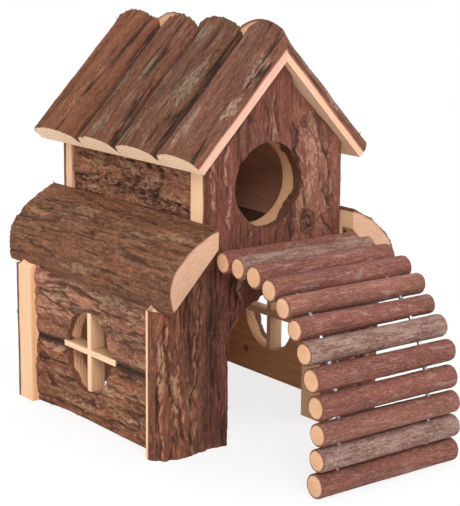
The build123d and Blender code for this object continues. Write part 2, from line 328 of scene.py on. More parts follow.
def bark_tone_group() -> Group:
    """Return the group that colours bark by its place, its relief and its marks, one layer over another; the
    hollows, cracks, grooves and sawn rims get painted shade, and the flakes' edges a painted highlight.
    """
    marks = " ".join(mark.name.lower() for mark in BARK_MARKS)
    inputs = {
        Kind.VECTOR: "place",
        Kind.NUMBER: f"{marks} seed grey_share contrast streak_length streak_width mottle_size",
        Kind.COLOR: "warm dull grey light deep patch_color",
    }
    group = Group("Bark Tone", "ShaderNodeTree", inputs, TONE)
    given = group.given
    own = given.place + group.join(0, given.seed, 0)
    along, around = 1 / given.streak_length, 1 / given.streak_width
    streaked = own * group.join(along, around, around)
    patches = own.noise(42, 12, 3, 0.6, 3.1)
    blotches = own.noise(14, 3.4, 4, 0.65, 8.7)
    streaks = streaked.noise(1, 1, 3, 0.6, 1.3)
    threads = streaked.noise(0.36, 0.34, 2, 0.6, 5.9)
    hairs = streaked.noise(0.6, 0.22, 2, 0.5, 7.7)
    mottle_way = 1 / given.mottle_size
    mottle = (own * group.join(mottle_way, mottle_way, mottle_way)).noise(1.5, 0.55, 4, 0.7, 2.2)
    beyond = (blotches + given.layer * 0.16) - (0.78 - given.grey_share * 0.22)
    spread = given.patch + (blotches * 1.6 + mottle * 1.4 - 1.5)
    clusters = threads.ramp(0.46, 0.36) * blotches.ramp(0.58, 0.44, 0.25, 1)
    rings = group.reckon("SINE", given.knot * 19 + mottle * 14) * 0.4 + 0.6
    layers = (
        (beyond.ramp(-0.02, 0.05, 0, 0.75), given.grey),
        (spread.ramp(0.40, 0.66, 0, 0.8) * mottle.ramp(0.44, 0.55, 0.3, 1), given.patch_color),
        (streaks.ramp(0.52, 0.66, 0, 0.55) * given.contrast, given.light),
        # painted shade: the deeper the relief, the more of the deep colour, for the shade in the bark's
        # hollows
        (given.relief.ramp(0.8, 2.3) * 0.5, given.deep),
        (clusters * given.contrast, given.deep),
        (hairs.ramp(0.58, 0.70, 0, 0.6) * given.contrast, given.light),
        (mottle.ramp(0.51, 0.66, 0, 0.85) * given.contrast, given.light),
        (mottle.ramp(0.48, 0.34, 0, 0.9) * given.contrast, given.deep),
        # painted highlight: a pale line along the raised flakes' edges
        (given.lip * 0.5, given.light),
        (given.knot.ramp(0.12, 0.5, 0, 0.85) * rings, given.deep),
        # painted shade: the bark darkens towards the sawn rims, where it rolls into the valleys between slabs
        (given.rim * 0.55, given.deep),
        # painted shade: the cracks are laid over with the deep colour
        (given.crack * 0.9, given.deep),
        # painted shade: seams, wide grooves and the valleys between slabs darken with their depth
        (given.groove.ramp(0.15, 2.5, 0, 0.85), given.deep),
    )
    color = given.warm.mixed(patches.ramp(0.43, 0.57), given.dull)
    for share, over in layers:
        color = color.mixed(share, over)
    height = threads * 0.7 + mottle * 0.8 + streaks * 0.6
    return group.give(color=color, roughness=blotches.ramp(0.3, 0.7, 0.92, 0.74), height=height)


def wood_grain_group() -> Group:
    """Return the group that draws growth rings, streaks and pores on cut wood."""
    inputs = {Kind.VECTOR: "place", Kind.COLOR: "pale dark", Kind.NUMBER: "ring_width ring_strength"}
    group = Group("Wood Grain", "ShaderNodeTree", inputs, TONE)
    given = group.given
    place = given.place
    wander = place.noise(60, 16, 2, 0.5, 4)
    streaks = place.noise(26, 0.9, 3, 0.6, 1)
    pores = place.noise(3, 0.28, 2, 0.6, 6)
    broad = place.noise(80, 9, 2, 0.5, 9)
    _, across, out = group.split(place)
    radius = group.reckon("LENGTH", group.join(0, across, out))
    within = group.reckon("FRACT", (radius + wander * 5) / given.ring_width)
    late = within.ramp(0.35, 0.9) * within.ramp(1, 0.93)
    lines = late * given.ring_strength + streaks.ramp(0.42, 0.78, 0, 0.42)
    share = group.reckon("ADD", lines, broad.ramp(0.45, 0.75, 0, 0.25), clamp=True)
    color = given.pale.mixed(share, given.dark).mixed(pores.ramp(0.62, 0.8, 0, 0.35), given.dark)
    height = streaks * 0.6 + pores * 0.4 - late * 0.25
    return group.give(color=color, roughness=streaks.ramp(0.3, 0.7, 0.62, 0.78), height=height)


def bark_ring_group() -> Group:
    """Return the group that lays the bark's layers over the rim of a cut face."""
    inputs = {Kind.VECTOR: "place", Kind.COLOR: "wood bark rim", Kind.NUMBER: "depth thickness"}
    group = Group("Bark Ring", "ShaderNodeTree", inputs, {Kind.COLOR: "color"})
    given = group.given
    wobble = given.place.noise(16, 7, 2, 0.4, 7).ramp(0.32, 0.68, 0.85, 1.15)
    past = given.depth - given.thickness * wobble
    layered = given.bark.mixed(given.place.noise(4, 0.8, 3, 0.6, 2).ramp(0.4, 0.65), given.rim)
    stained = given.wood.mixed(past.ramp(0.9, 0, 0, 0.35), given.bark)
    return group.give(color=stained.mixed(past.ramp(0.12, -0.12), layered))


class Finishes:
    """The shared node groups, each made once."""

    def __init__(self) -> None:
        """Make every group."""
        self.bark_tone = bark_tone_group()
        self.wood_grain = wood_grain_group()
        self.bark_ring = bark_ring_group()


class Dressing(Graph):
    """The graph of one new material."""

    def __init__(self, name: str) -> None:
        """Start with an empty material."""
        self.material = bpy.data.materials.new(name)
        self.material.use_nodes = True
        self.material.node_tree.nodes.clear()
        super().__init__(self.material.node_tree)

    def read(self, attribute: Attribute, pick: str = "Fac") -> Value:
        """Return one of a mesh's attributes."""
        name = attribute.value
        return self.out("ShaderNodeAttribute", pick=pick, attribute_type="GEOMETRY", attribute_name=name)

    def in_house(self) -> Value:
        """Return the place in the house, in millimetres."""
        return self.out("ShaderNodeTexCoord", pick="Object") * (1 / MM, 1 / MM, 1 / MM)

    def finish(
        self, color: Value, roughness: Value, height: Value, strength: float, depth: float, **plain: float
    ) -> Material:
        """End the graph with its surface.

        Args:
            color: The base colour.
            roughness: The roughness.
            height: The height of the fine relief, from 0 to about 1.
            strength: How strong that relief is.
            depth: How deep it is.
            plain: The surface's plain numbers, by name.

        Returns:
            The material.
        """
        bump = self.out("ShaderNodeBump", {"Height": height, "Strength": strength, "Distance": depth * MM})
        inputs = {"Base Color": color, "Roughness": roughness, "Normal": bump}
        inputs |= {name.replace("_", " "): value for name, value in plain.items()}
        shader = self.out("ShaderNodeBsdfPrincipled", inputs)
        self.add("ShaderNodeOutputMaterial", {"Surface": shader})
        return self.material


@dataclass(frozen=True)
class BarkFinish:
    """Bark on the rounded side of a slab or around a stick, in screen colours."""

    name: str
    seed: float
    warm: Color = (128, 78, 56)
    dull: Color = (110, 72, 54)
    grey: Color = (140, 112, 92)
    # light is also laid as a painted highlight on flakes' edges, and deep as painted shade in hollows,
    # cracks, grooves and by the sawn rims.
    light: Color = (182, 132, 104)
    deep: Color = (46, 27, 18)
    patch_color: Color = (168, 144, 116)
    grey_share: float = 0.4
    contrast: float = 0.55
    streak_length: float = 30.0
    streak_width: float = 1.5
    mottle_size: float = 2.6
    bump: float = 0.35

    def material(self, finishes: Finishes) -> Material:
        """Return this bark as a material."""
        dressing = Dressing(f"bark_{self.name}")
        own = {name: value for name, value in asdict(self).items() if name not in ("name", "bump")}
        own = {name: srgb(value) if isinstance(value, tuple) else value for name, value in own.items()}
        marks = {mark.name.lower(): dressing.read(mark) for mark in BARK_MARKS}
        place = dressing.read(Attribute.PLACE, "Vector")
        tone = dressing.call(finishes.bark_tone, place=place, **marks, **own)
        plain = {"Specular_IOR_Level": 0.28}
        return dressing.finish(tone.color, tone.roughness, tone.height, 0.9, self.bump, **plain)


@dataclass(frozen=True)
class CutWoodFinish:
    """Wood where a slab or a stick was sawn, planed or bored, with the bark's rim where it has one."""

    name: str
    pale: Color
    dark: Color
    bark: Color = (104, 60, 44)
    rim: Color = (140, 88, 62)
    ring_width: float = 1.8
    ring_strength: float = 0.3
    bark_thickness: float = 0.0
    has_knots: bool = False

    def material(self, finishes: Finishes) -> Material:
        """Return this cut wood as a material."""
        dressing = Dressing(f"wood_{self.name}")
        place = dressing.read(Attribute.PLACE, "Vector")
        pale, dark, bark, rim = (srgb(color) for color in (self.pale, self.dark, self.bark, self.rim))
        rings = {"ring_width": self.ring_width, "ring_strength": self.ring_strength}
        grain = dressing.call(finishes.wood_grain, place=place, pale=pale, dark=dark, **rings)
        color = grain.color
        if self.has_knots:
            color = color.mixed(dressing.read(Attribute.KNOT).ramp(0.2, 0.6, 0, 0.8), bark)
        if self.bark_thickness:
            cut = {"depth": dressing.read(Attribute.DEPTH), "thickness": self.bark_thickness}
            cut |= {"wood": color, "place": place, "bark": bark, "rim": rim}
            color = dressing.call(finishes.bark_ring, **cut).color
        return dressing.finish(color, grain.roughness, grain.height, 0.7, 0.12, Specular_IOR_Level=0.3)


@dataclass(frozen=True)
class BoardFinish:
    """Planed wood on a piece that has no attributes of its own, by its place in the house."""

    name: str
    pale: Color
    dark: Color

    def material(self, finishes: Finishes) -> Material:
        """Return this board as a material."""
        dressing = Dressing(self.name)
        looks = {"pale": srgb(self.pale), "dark": srgb(self.dark), "ring_width": 4, "ring_strength": 0.35}
        grain = dressing.call(finishes.wood_grain, place=dressing.in_house(), **looks)
        return dressing.finish(grain.color, grain.roughness, grain.height, 0.6, 0.1)


@dataclass(frozen=True)
class WireFinish:
    """Galvanised steel wire."""

    name: str
    color: Color = (176, 178, 180)
    dull: Color = (122, 124, 128)

    def material(self) -> Material:
        """Return this wire as a material."""
        dressing = Dressing(self.name)
        place = dressing.in_house()
        clouds = place.noise(2.5, 2.5, 3, 0.6)
        scratches = place.noise(0.3, 1.5, 2, 0.6, 4)
        steel = dressing.mix(clouds.ramp(0.4, 0.65), srgb(self.color), srgb(self.dull))
        return dressing.finish(steel, clouds.ramp(0.3, 0.7, 0.32, 0.5), scratches, 0.4, 0.05, Metallic=1)


# Shape trees


@dataclass(frozen=True)
class Relief:
    """How deep the bark's lumps, ridges, flakes and cracks are, how far they reach, and their seed."""

    lump: float = 0.6
    ridge: float = 0.5
    flake: float = 0.6
    fissure: float = 1.0
    fibre: float = 0.15
    grain_reach: float = 30.0
    fissure_spacing: float = 4.6
    seed: float = 0.0


RELIEF_PORTS = " ".join(asdict(Relief()))


def relief_field_group() -> Group:
    """Return the group that gives bark's depth below its log's round surface at any place."""
    inputs = {Kind.VECTOR: "place", Kind.NUMBER: RELIEF_PORTS}
    group = Group("Bark Relief Field", "GeometryNodeTree", inputs, {Kind.NUMBER: "relief crack layer lip"})
    given = group.given
    own = given.place + group.join(0, 0, given.seed * 13.7)
    wander = own.noise(34, 12, 2, 0.5, 3.3) - 0.5
    along, around = 1 / given.grain_reach, 1 / given.fissure_spacing
    scaled = (own + group.join(0, wander * 5, 0)) * group.join(along, around, around)

    def lines(reach: float, spacing: float, width: float, shift: float) -> Value:
        """Return thin lines where a noise passes its middle value."""
        value = scaled.noise(reach, spacing, 2, 0.55, shift)
        return group.reckon("ABSOLUTE", value - 0.5).ramp(0, width, 1, 0)

    lumps = own.noise(45, 15, 1, 0.5, 11)
    ribs = scaled.noise(1.7, 0.62, 2, 0.5, 7)
    fibres = scaled.noise(0.25, 0.14, 3, 0.6, 2)
    terraces = scaled.noise(0.55, 1.2, 4, 0.6, 9) * 6
    whole = group.reckon("FLOOR", terraces)
    within = terraces - whole
    layer = group.reckon("DIVIDE", whole + within.ramp(0.8, 1) - 1, 3, clamp=True)
    main_cracks = lines(1.4, 1.1, 0.038, 0) * own.noise(50, 8, 1, 0.5, 6).ramp(0.42, 0.54)
    fine_cracks = lines(0.7, 0.5, 0.035, 5) * 0.3
    smooth = given.lump * lumps.ramp(0.66, 0.34) + given.ridge * ribs.ramp(0.62, 0.38)
    smooth = smooth + given.flake * (1 - layer)
    rough = given.fibre * fibres.ramp(0.7, 0.3) + given.fissure * (main_cracks + fine_cracks)
    crack = group.reckon("ADD", main_cracks, fine_cracks, clamp=True)
    # lip is a pale line along each flake's raised edge, laid on the bark as a painted highlight; crack
    # darkens the cracks as painted shade
    return group.give(
        relief=(smooth + rough).at_most(DEEPEST_RELIEF), crack=crack * given.fissure.ramp(0.1, 0.9),
        layer=layer, lip=within.ramp(0.16, 0) * given.flake.ramp(0.3, 0.8),
    )


class ShapeTree(Group):
    """A geometry tree that takes a shape and gives one back."""

    def __init__(self, name: str, inputs: dict[Kind, str]) -> None:
        """Start the tree, with the names of its inputs beside the shape."""
        shape = {Kind.SHAPE: "geometry"}
        super().__init__(name, "GeometryNodeTree", shape | inputs, shape)

    def read(self, attribute: Attribute, kind: str = "FLOAT") -> Value:
        """Return one of the mesh's own attributes."""
        inputs = {"Name": attribute.value}
        return self.out("GeometryNodeInputNamedAttribute", inputs, pick="Attribute", data_type=kind)

    def store(self, shape: Value, attribute: Attribute, value: object, kind: str = "FLOAT") -> Value:
        """Return the shape with one more attribute on its points."""
        inputs = {"Geometry": shape, "Name": attribute.value, "Value": value}
        return self.out("GeometryNodeStoreNamedAttribute", inputs, data_type=kind, domain="POINT")

    def relief_at(self, relief_field: Group, place: Value) -> SimpleNamespace:
        """Return the relief field at a place, fed from the tree's own inputs."""
        numbers = {name: getattr(self.given, name) for name in RELIEF_PORTS.split()}
        return self.call(relief_field, place=place, **numbers)

    def store_relief(self, shape: Value, bark: SimpleNamespace, relief: Value) -> Value:
        """Return the shape with its relief, cracks, layers and lips kept for the materials."""
        shape = self.store(shape, Attribute.RELIEF, relief)
        shape = self.store(shape, Attribute.CRACK, bark.crack)
        shape = self.store(shape, Attribute.LAYER, bark.layer)
        return self.store(shape, Attribute.LIP, bark.lip)

    def end(self, shape: Value, *materials: tuple[Value, object]) -> "ShapeTree":
        """End the tree with real, separate faces.

        Args:
            shape: The shape.
            materials: Each material with what it is put on, one over another.

        Returns:
            The tree.
        """
        shape = self.out("GeometryNodeRealizeInstances", {"Geometry": shape})
        for material, selection in materials:
            inputs = {"Geometry": shape, "Material": material, "Selection": selection}
            shape = self.out("GeometryNodeSetMaterial", inputs)
        return self.give(geometry=shape)


def slab_relief_tree(relief_field: Group) -> ShapeTree:
    """Return the tree that presses bark relief into a smooth slab."""
    cuts = (Surface.SAWN, Surface.INNER, Surface.HEAD, Surface.TAIL)
    names = " ".join(cut.name.lower() for cut in cuts)
    tree = ShapeTree("Slab Relief", {Kind.NUMBER: RELIEF_PORTS, Kind.MATERIAL: f"bark {names}"})
    bark = tree.relief_at(relief_field, tree.read(Attribute.BARK_PLACE, "FLOAT_VECTOR"))
    knot = tree.read(Attribute.KNOT)
    whorl = tree.reckon("SINE", knot * 19) * 0.5 + 0.5
    pressed = (bark.relief + knot * (whorl * 0.7 + 0.3)).at_most(DEEPEST_RELIEF)
    groove = tree.read(Attribute.GROOVE) * pressed.ramp(0, 3.2, 1, 0.35)
    relief = (pressed + groove).at_most(DEEPEST_GROOVE)
    shape = tree.store_relief(tree.given.geometry, bark, relief)
    move = tree.read(Attribute.INWARD, "FLOAT_VECTOR") * relief
    moved = tree.out("GeometryNodeSetPosition", {"Geometry": shape, "Offset": move})
    surface = tree.read(Attribute.SURFACE, "INT")
    materials = [(tree.given.bark, True)]
    for cut in cuts:
        inputs = {2: surface, 3: cut.value}
        is_cut = tree.out("FunctionNodeCompare", inputs, data_type="INT", operation="EQUAL")
        materials.append((getattr(tree.given, cut.name.lower()), is_cut))
    return tree.end(moved, *materials)


def fibres_tree() -> ShapeTree:
    """Return the tree that raises loose fibres from a slab's bark, most of them along its edges."""
    inputs = {
        Kind.NUMBER: "per_square_metre along_edges length thickness lift", Kind.VECTOR: "grain low high",
        Kind.WHOLE: "seed", Kind.MATERIAL: "bark",
    }
    tree = ShapeTree("Bark Fibres", inputs)
    given = tree.given

    def chance(low: float, high: float, turn: int) -> Value:
        """Return a random number for each fibre."""
        inputs = {2: low, 3: high, "Seed": given.seed + turn}
        return tree.out("FunctionNodeRandomValue", inputs, pick=1, data_type="FLOAT")

    inputs = {
        "Mesh": given.geometry,
        "Selection": tree.out("GeometryNodeMaterialSelection", {"Material": given.bark}),
        "Density": tree.read(Attribute.RIM) * given.along_edges + given.per_square_metre, "Seed": given.seed,
    }
    roots = tree.named(tree.add("GeometryNodeDistributePointsOnFaces", inputs))
    inputs = {0: -0.35, 1: 0.35, "Seed": given.seed + 2}
    stray = tree.out("FunctionNodeRandomValue", inputs, data_type="FLOAT_VECTOR")
    way = roots.normal * given.lift + given.grain * chance(-1, 1, 1) + stray
    turn = tree.out("FunctionNodeAlignRotationToVector", {"Vector": way}, axis="Z")
    points = tree.store(roots.points, Attribute.FIBRE, 1)
    points = tree.store(points, Attribute.PATCH, chance(0.2, 1, 3))
    inputs = {
        "Vertices": 5, "Side Segments": 1, "Fill Segments": 1, "Radius Bottom": given.thickness * 0.5,
        "Radius Top": given.thickness * 0.1, "Depth": given.length,
    }
    spike = tree.out("GeometryNodeMeshCone", inputs)
    stuck = tree.out("GeometryNodeTransform", {"Geometry": spike, "Translation": (0, 0, -0.4)})
    size = chance(0.4, 1.3, 4) * MM
    inputs = {"Points": points, "Instance": stuck, "Rotation": turn, "Scale": size}
    grown = tree.out("GeometryNodeInstanceOnPoints", inputs)
    both = tree.out("GeometryNodeJoinGeometry", {0: grown})
    tree.feed(both.socket.node.inputs[0], given.geometry)
    real = tree.out("GeometryNodeRealizeInstances", {"Geometry": both})
    is_fibre = tree.read(Attribute.FIBRE)
    held = tree.out("GeometryNodeInputPosition").at_least(given.low).at_most(given.high)
    kept = tree.out("GeometryNodeSetPosition", {"Geometry": real, "Selection": is_fibre, "Position": held})
    return tree.end(kept, (given.bark, is_fibre))


def stick_tree(relief_field: Group) -> ShapeTree:
    """Return the tree that makes one ladder stick, lying along X."""
    inputs = {
        Kind.NUMBER: f"length radius taper crook rim_round spin {RELIEF_PORTS}", Kind.VECTOR: "middle",
        Kind.MATERIAL: "bark end_grain",
    }
    tree = ShapeTree("Bark Stick", inputs)
    given = tree.given
    inputs = {
        "Vertices": 64, "Side Segments": 150, "Fill Segments": 8, "Radius": given.radius,
        "Depth": given.length,
    }
    body = tree.named(tree.add("GeometryNodeMeshCylinder", inputs))
    x, y, z = tree.split(tree.out("GeometryNodeInputPosition"))
    place = tree.join(z, x, y)
    bark = tree.relief_at(relief_field, place)
    from_axis = tree.reckon("LENGTH", tree.join(x, y, 0))
    shape = tree.store(body.mesh, Attribute.PLACE, place, "FLOAT_VECTOR")
    shape = tree.store_relief(shape, bark, bark.relief)
    shape = tree.store(shape, Attribute.DEPTH, given.radius - from_axis)
    share = from_axis / given.radius
    along = z / given.length
    at_end = (given.length * 0.5 - tree.reckon("ABSOLUTE", z)).ramp(0.9, 0)
    pressed = bark.relief / given.radius + at_end * (given.rim_round * 0.5 / given.radius)
    tapered = 1 - given.taper * (along + 0.5)
    scale = tapered - tree.reckon("POWER", share, 2) * pressed
    bow = given.crook * tree.reckon("COSINE", along * math.pi)
    drawn_in = at_end * (tree.reckon("POWER", share, 6) * given.rim_round)
    lying = tree.join(z - tree.reckon("SIGN", z) * drawn_in, x * scale + bow, y * scale)
    moved = tree.out("GeometryNodeSetPosition", {"Geometry": shape, "Position": lying})
    inputs = {
        "Geometry": tree.out("GeometryNodeSetShadeSmooth", {"Geometry": moved}),
        "Translation": given.middle * (MM, MM, MM), "Rotation": tree.join(given.spin, 0, 0), "Scale": MM,
    }
    laid = tree.out("GeometryNodeTransform", inputs)
    ends = tree.out("FunctionNodeBooleanMath", {0: body.top, 1: body.bottom}, operation="OR")
    return tree.end(laid, (given.bark, True), (given.end_grain, ends))


def wire_tree() -> ShapeTree:
    """Return the tree that makes one bent span of wire."""
    ports = {Kind.VECTOR: "start bend end", Kind.NUMBER: "diameter", Kind.MATERIAL: "wire"}
    tree = ShapeTree("Wire Span", ports)
    given = tree.given
    inputs = {"Resolution": 24, "Start": given.start, "Middle": given.bend, "End": given.end}
    route = tree.out("GeometryNodeCurveQuadraticBezier", inputs)
    inputs = {"Resolution": 14, "Radius": given.diameter * 0.5}
    ring = tree.out("GeometryNodeCurvePrimitiveCircle", inputs)
    inputs = {"Curve": route, "Profile Curve": ring, "Fill Caps": True}
    tube = tree.out("GeometryNodeCurveToMesh", inputs)
    laid = tree.out("GeometryNodeTransform", {"Geometry": tube, "Scale": MM})
    return tree.end(laid, (given.wire, True))


class ShapeTrees:
    """The trees that shape what repeats, each made once."""

    def __init__(self) -> None:
        """Make every tree."""
        relief_field = relief_field_group()
        self.slab_relief = slab_relief_tree(relief_field)
        self.fibres = fibres_tree()
        self.stick = stick_tree(relief_field)
        self.wire = wire_tree()


# Meshes


def apply_modifiers(piece: Object) -> None:
    """Turn an object's evaluated shape into its own plain mesh, and remove its modifiers."""
    bpy.context.view_layer.update()
    graph = bpy.context.evaluated_depsgraph_get()
    shaped = piece.evaluated_get(graph)
    mesh = bpy.data.meshes.new_from_object(shaped, preserve_all_data_layers=True, depsgraph=graph)
    piece.modifiers.clear()
    old = piece.data
    piece.data = mesh
    mesh.name = piece.name
    bpy.data.meshes.remove(old)


def shape_with_tree(piece: Object, tree: ShapeTree, **values: object) -> None:
    """Replace an object's mesh by what a shape tree makes of it.

    Args:
        piece: The object.
        tree: The shape tree.
        values: The tree's inputs, by name.
    """
    modifier = piece.modifiers.new(tree.tree.name, "NODES")
    modifier.node_group = tree.tree
    for item in tree.tree.interface.items_tree:
        if item.in_out == "INPUT" and item.name in values:
            value = values[item.name]
            is_number = item.socket_type == Kind.NUMBER.value
            modifier[item.identifier] = float(value) if is_number else value
    apply_modifiers(piece)


def new_piece(name: str, mesh: Mesh) -> Object:
    """Return a new object in the scene that holds a mesh."""
    piece = bpy.data.objects.new(name, mesh)
    bpy.context.scene.collection.objects.link(piece)
    return piece


@contextmanager
def opened(mesh: Mesh) -> Iterator[bmesh.types.BMesh]:
    """Open a mesh for changes, and write them back afterwards."""
    shape = bmesh.new()
    shape.from_mesh(mesh)
    yield shape
    shape.to_mesh(mesh)
    shape.free()


def set_attribute(
    mesh: Mesh, name: Attribute, values: Array, kind: str = "FLOAT", domain: str = "POINT"
) -> None:
    """Store numbers on a mesh.

    Args:
        mesh: The mesh.
        name: The attribute.
        values: Its values, one row each.
        kind: The values' kind.
        domain: What they are stored on.
    """
    attribute = mesh.attributes.get(name.value) or mesh.attributes.new(name.value, kind, domain)
    number = {"INT": np.int32, "BOOLEAN": bool}.get(kind, np.float32)
    key = "vector" if kind == "FLOAT_VECTOR" else "value"
    attribute.data.foreach_set(key, np.ascontiguousarray(values, number).ravel())


def places_of(mesh: Mesh) -> Array:
    """Return where a mesh's points are, in millimetres."""
    places = np.zeros(len(mesh.vertices) * 3, np.float32)
    mesh.vertices.foreach_get("co", places)
    return places.reshape(-1, 3) / MM


def sharpen_between_materials(mesh: Mesh) -> None:
    """Shade each finish smooth by itself, with a crisp edge where bark meets cut wood."""
    corner_edges = np.zeros(len(mesh.loops), np.int32)
    mesh.loops.foreach_get("edge_index", corner_edges)
    materials, corners = np.zeros((2, len(mesh.polygons)), np.int32)
    mesh.polygons.foreach_get("material_index", materials)
    mesh.polygons.foreach_get("loop_total", corners)
    of_corner = np.repeat(materials, corners)
    lowest = np.full(len(mesh.edges), 99, np.int32)
    highest = np.zeros(len(mesh.edges), np.int32)
    np.minimum.at(lowest, corner_edges, of_corner)
    np.maximum.at(highest, corner_edges, of_corner)
    set_attribute(mesh, Attribute.SHARP_EDGE, lowest != highest, "BOOLEAN", "EDGE")


def wall_faces(rows: int, count: int) -> Array:
    """Return the four corners of each face of a closed wall, whose points stand in rings of a count."""
    rings = np.arange((rows + 1) * count).reshape(rows + 1, count)
    after = np.roll(rings, -1, axis=1)
    return np.stack((rings[:-1], after[:-1], after[1:], rings[1:]), axis=-1).reshape(-1, 4)


def box(node: str) -> Arrays:
    """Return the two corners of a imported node's box, in millimetres."""
    low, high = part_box(node)
    return np.array(low) / MM, np.array(high) / MM


def reach_along(points: Array) -> Array:
    """Return how far along a line of points each of them lies."""
    return np.concatenate(([0.0], np.cumsum(np.hypot(*np.diff(points, axis=0).T))))


def arc(start: Sequence[float], middle: Sequence[float], end: Sequence[float]) -> Array:
    """Points along the arc through three points.

    Args:
        start: The arc's first point.
        middle: A point that it passes.
        end: Its last point.

    Returns:
        The points, one row each, without the last one.
    """
    (ax, ay), (bx, by), (cx, cy) = start, middle, end
    twice = 2 * (ax * (by - cy) + bx * (cy - ay) + cx * (ay - by))
    a2, b2, c2 = ax**2 + ay**2, bx**2 + by**2, cx**2 + cy**2
    centre_x = (a2 * (by - cy) + b2 * (cy - ay) + c2 * (ay - by)) / twice
    centre_y = (a2 * (cx - bx) + b2 * (ax - cx) + c2 * (bx - ax)) / twice
    radius = math.hypot(ax - centre_x, ay - centre_y)
    first = math.atan2(ay - centre_y, ax - centre_x)
    through = math.remainder(math.atan2(by - centre_y, bx - centre_x) - first, math.tau)
    last = math.remainder(math.atan2(cy - centre_y, cx - centre_x) - first, math.tau)
    if through * last < 0:
        last += math.copysign(math.tau, through)
    count = max(2, math.ceil(abs(last) * radius / POINT_SPACING))
    angles = first + last * np.arange(count) / count
    return np.column_stack((centre_x + radius * np.cos(angles), centre_y + radius * np.sin(angles)))


def arcs(*stops: Sequence[float]) -> Array:
    """Return points along arcs in a row, from their start, and each arc's middle and end."""
    parts = [arc(*stops[first : first + 3]) for first in range(0, len(stops) - 2, 2)]
    return np.vstack((*parts, stops[-1]))


# Slabs


@dataclass(frozen=True)
class Shoulder:
    """How a slab's bark side rounds off towards its sawn edges, and how much it rises between them."""

    size: float
    crown: float
    run_share: float = 0.9
    middle_run: float = 0.32
    middle_rise: float = 0.70

    def curve(self, start: float, end: float, edge: float) -> Array:
        """Points of the bark side.

        Args:
            start: Where the first sawn edge is, across the grain.
            end: Where the last one is.
            edge: The slab's thickness at its sawn edges.

        Returns:
            The points, as across and out.
        """
        run = math.copysign(1.0, end - start) * self.size * self.run_share
        top, middle = edge + self.size, edge + self.size * self.middle_rise
        first_middle = (start + run * self.middle_run, middle)
        last_middle = (end - run * self.middle_run, middle)
        crown = ((start + end) / 2, edge + self.crown)
        first = ((start, edge), first_middle, (start + run, top))
        last = ((end - run, top), last_middle, (end, edge))
        return arcs(*first, crown, *last)


@dataclass(frozen=True)
class Stance:
    """How a slab stands in the house: where its middle, grain, width and bark side are."""

    origin: tuple[float, float, float]
    grain: tuple[float, float, float]
    across: tuple[float, float, float]
    outward: tuple[float, float, float]

    def to_house(self, along: Array, across: Array, out: Array) -> Array:
        """Return places in the house, in millimetres, of places in the log."""
        place = np.array(self.origin) + np.multiply.outer(along, np.array(self.grain))
        place = place + np.multiply.outer(across, np.array(self.across))
        return place + np.multiply.outer(out, np.array(self.outward))

    def to_log(self, places: Array) -> Array:
        """Return places in the log, as along, across and out, of places in the house."""
        offset = places - np.array(self.origin)
        return np.column_stack([offset @ np.array(axis) for axis in (self.grain, self.across, self.outward)])


@dataclass(frozen=True)
class Knot:
    """A knot or a bruise in the bark."""

    along: float
    across: float
    radius: float
    rise: float = 0.8


@dataclass(frozen=True)
class Patch:
    """A peeled or lichened place on the bark."""

    along: float
    across: float
    length: float
    width: float


@dataclass(frozen=True)
class Seam:
    """A crack that follows the grain, or a wide hollow, with a pale lip on one side or none; its groove is
    also painted darker, as painted shade.
    """

    route: tuple[tuple[float, float], ...]
    width: float = 0.7
    depth: float = 1.6
    lip: float = 0.0
    wave: float = 0.7

    def offset(self, along: Array, around: Array) -> Array:
        """Return how far round the bark each place lies from the seam."""
        stops = np.array(sorted(self.route))
        waver = np.sin(along * 0.29 + stops[0, 1]) + 0.5 * np.sin(along * 0.71 + stops[0, 0])
        waver = waver + 0.35 * np.sin(along * 1.67 + stops[1, 0]) * np.sin(along * 0.37 + stops[1, 1])
        return around - np.interp(along, stops[:, 0], stops[:, 1]) - self.wave * waver

    def share(self, along: Array) -> Array:
        """Return how fully the seam is there, from nothing at its ends."""
        ends = sorted(stop[0] for stop in self.route)
        patchy = 0.8 + 0.2 * np.sin(along * 0.43 + ends[0]) * np.sin(along * 0.19 + ends[-1])
        return np.clip(np.minimum(along - ends[0], ends[-1] - along) / 6.0, 0, 1) * patchy


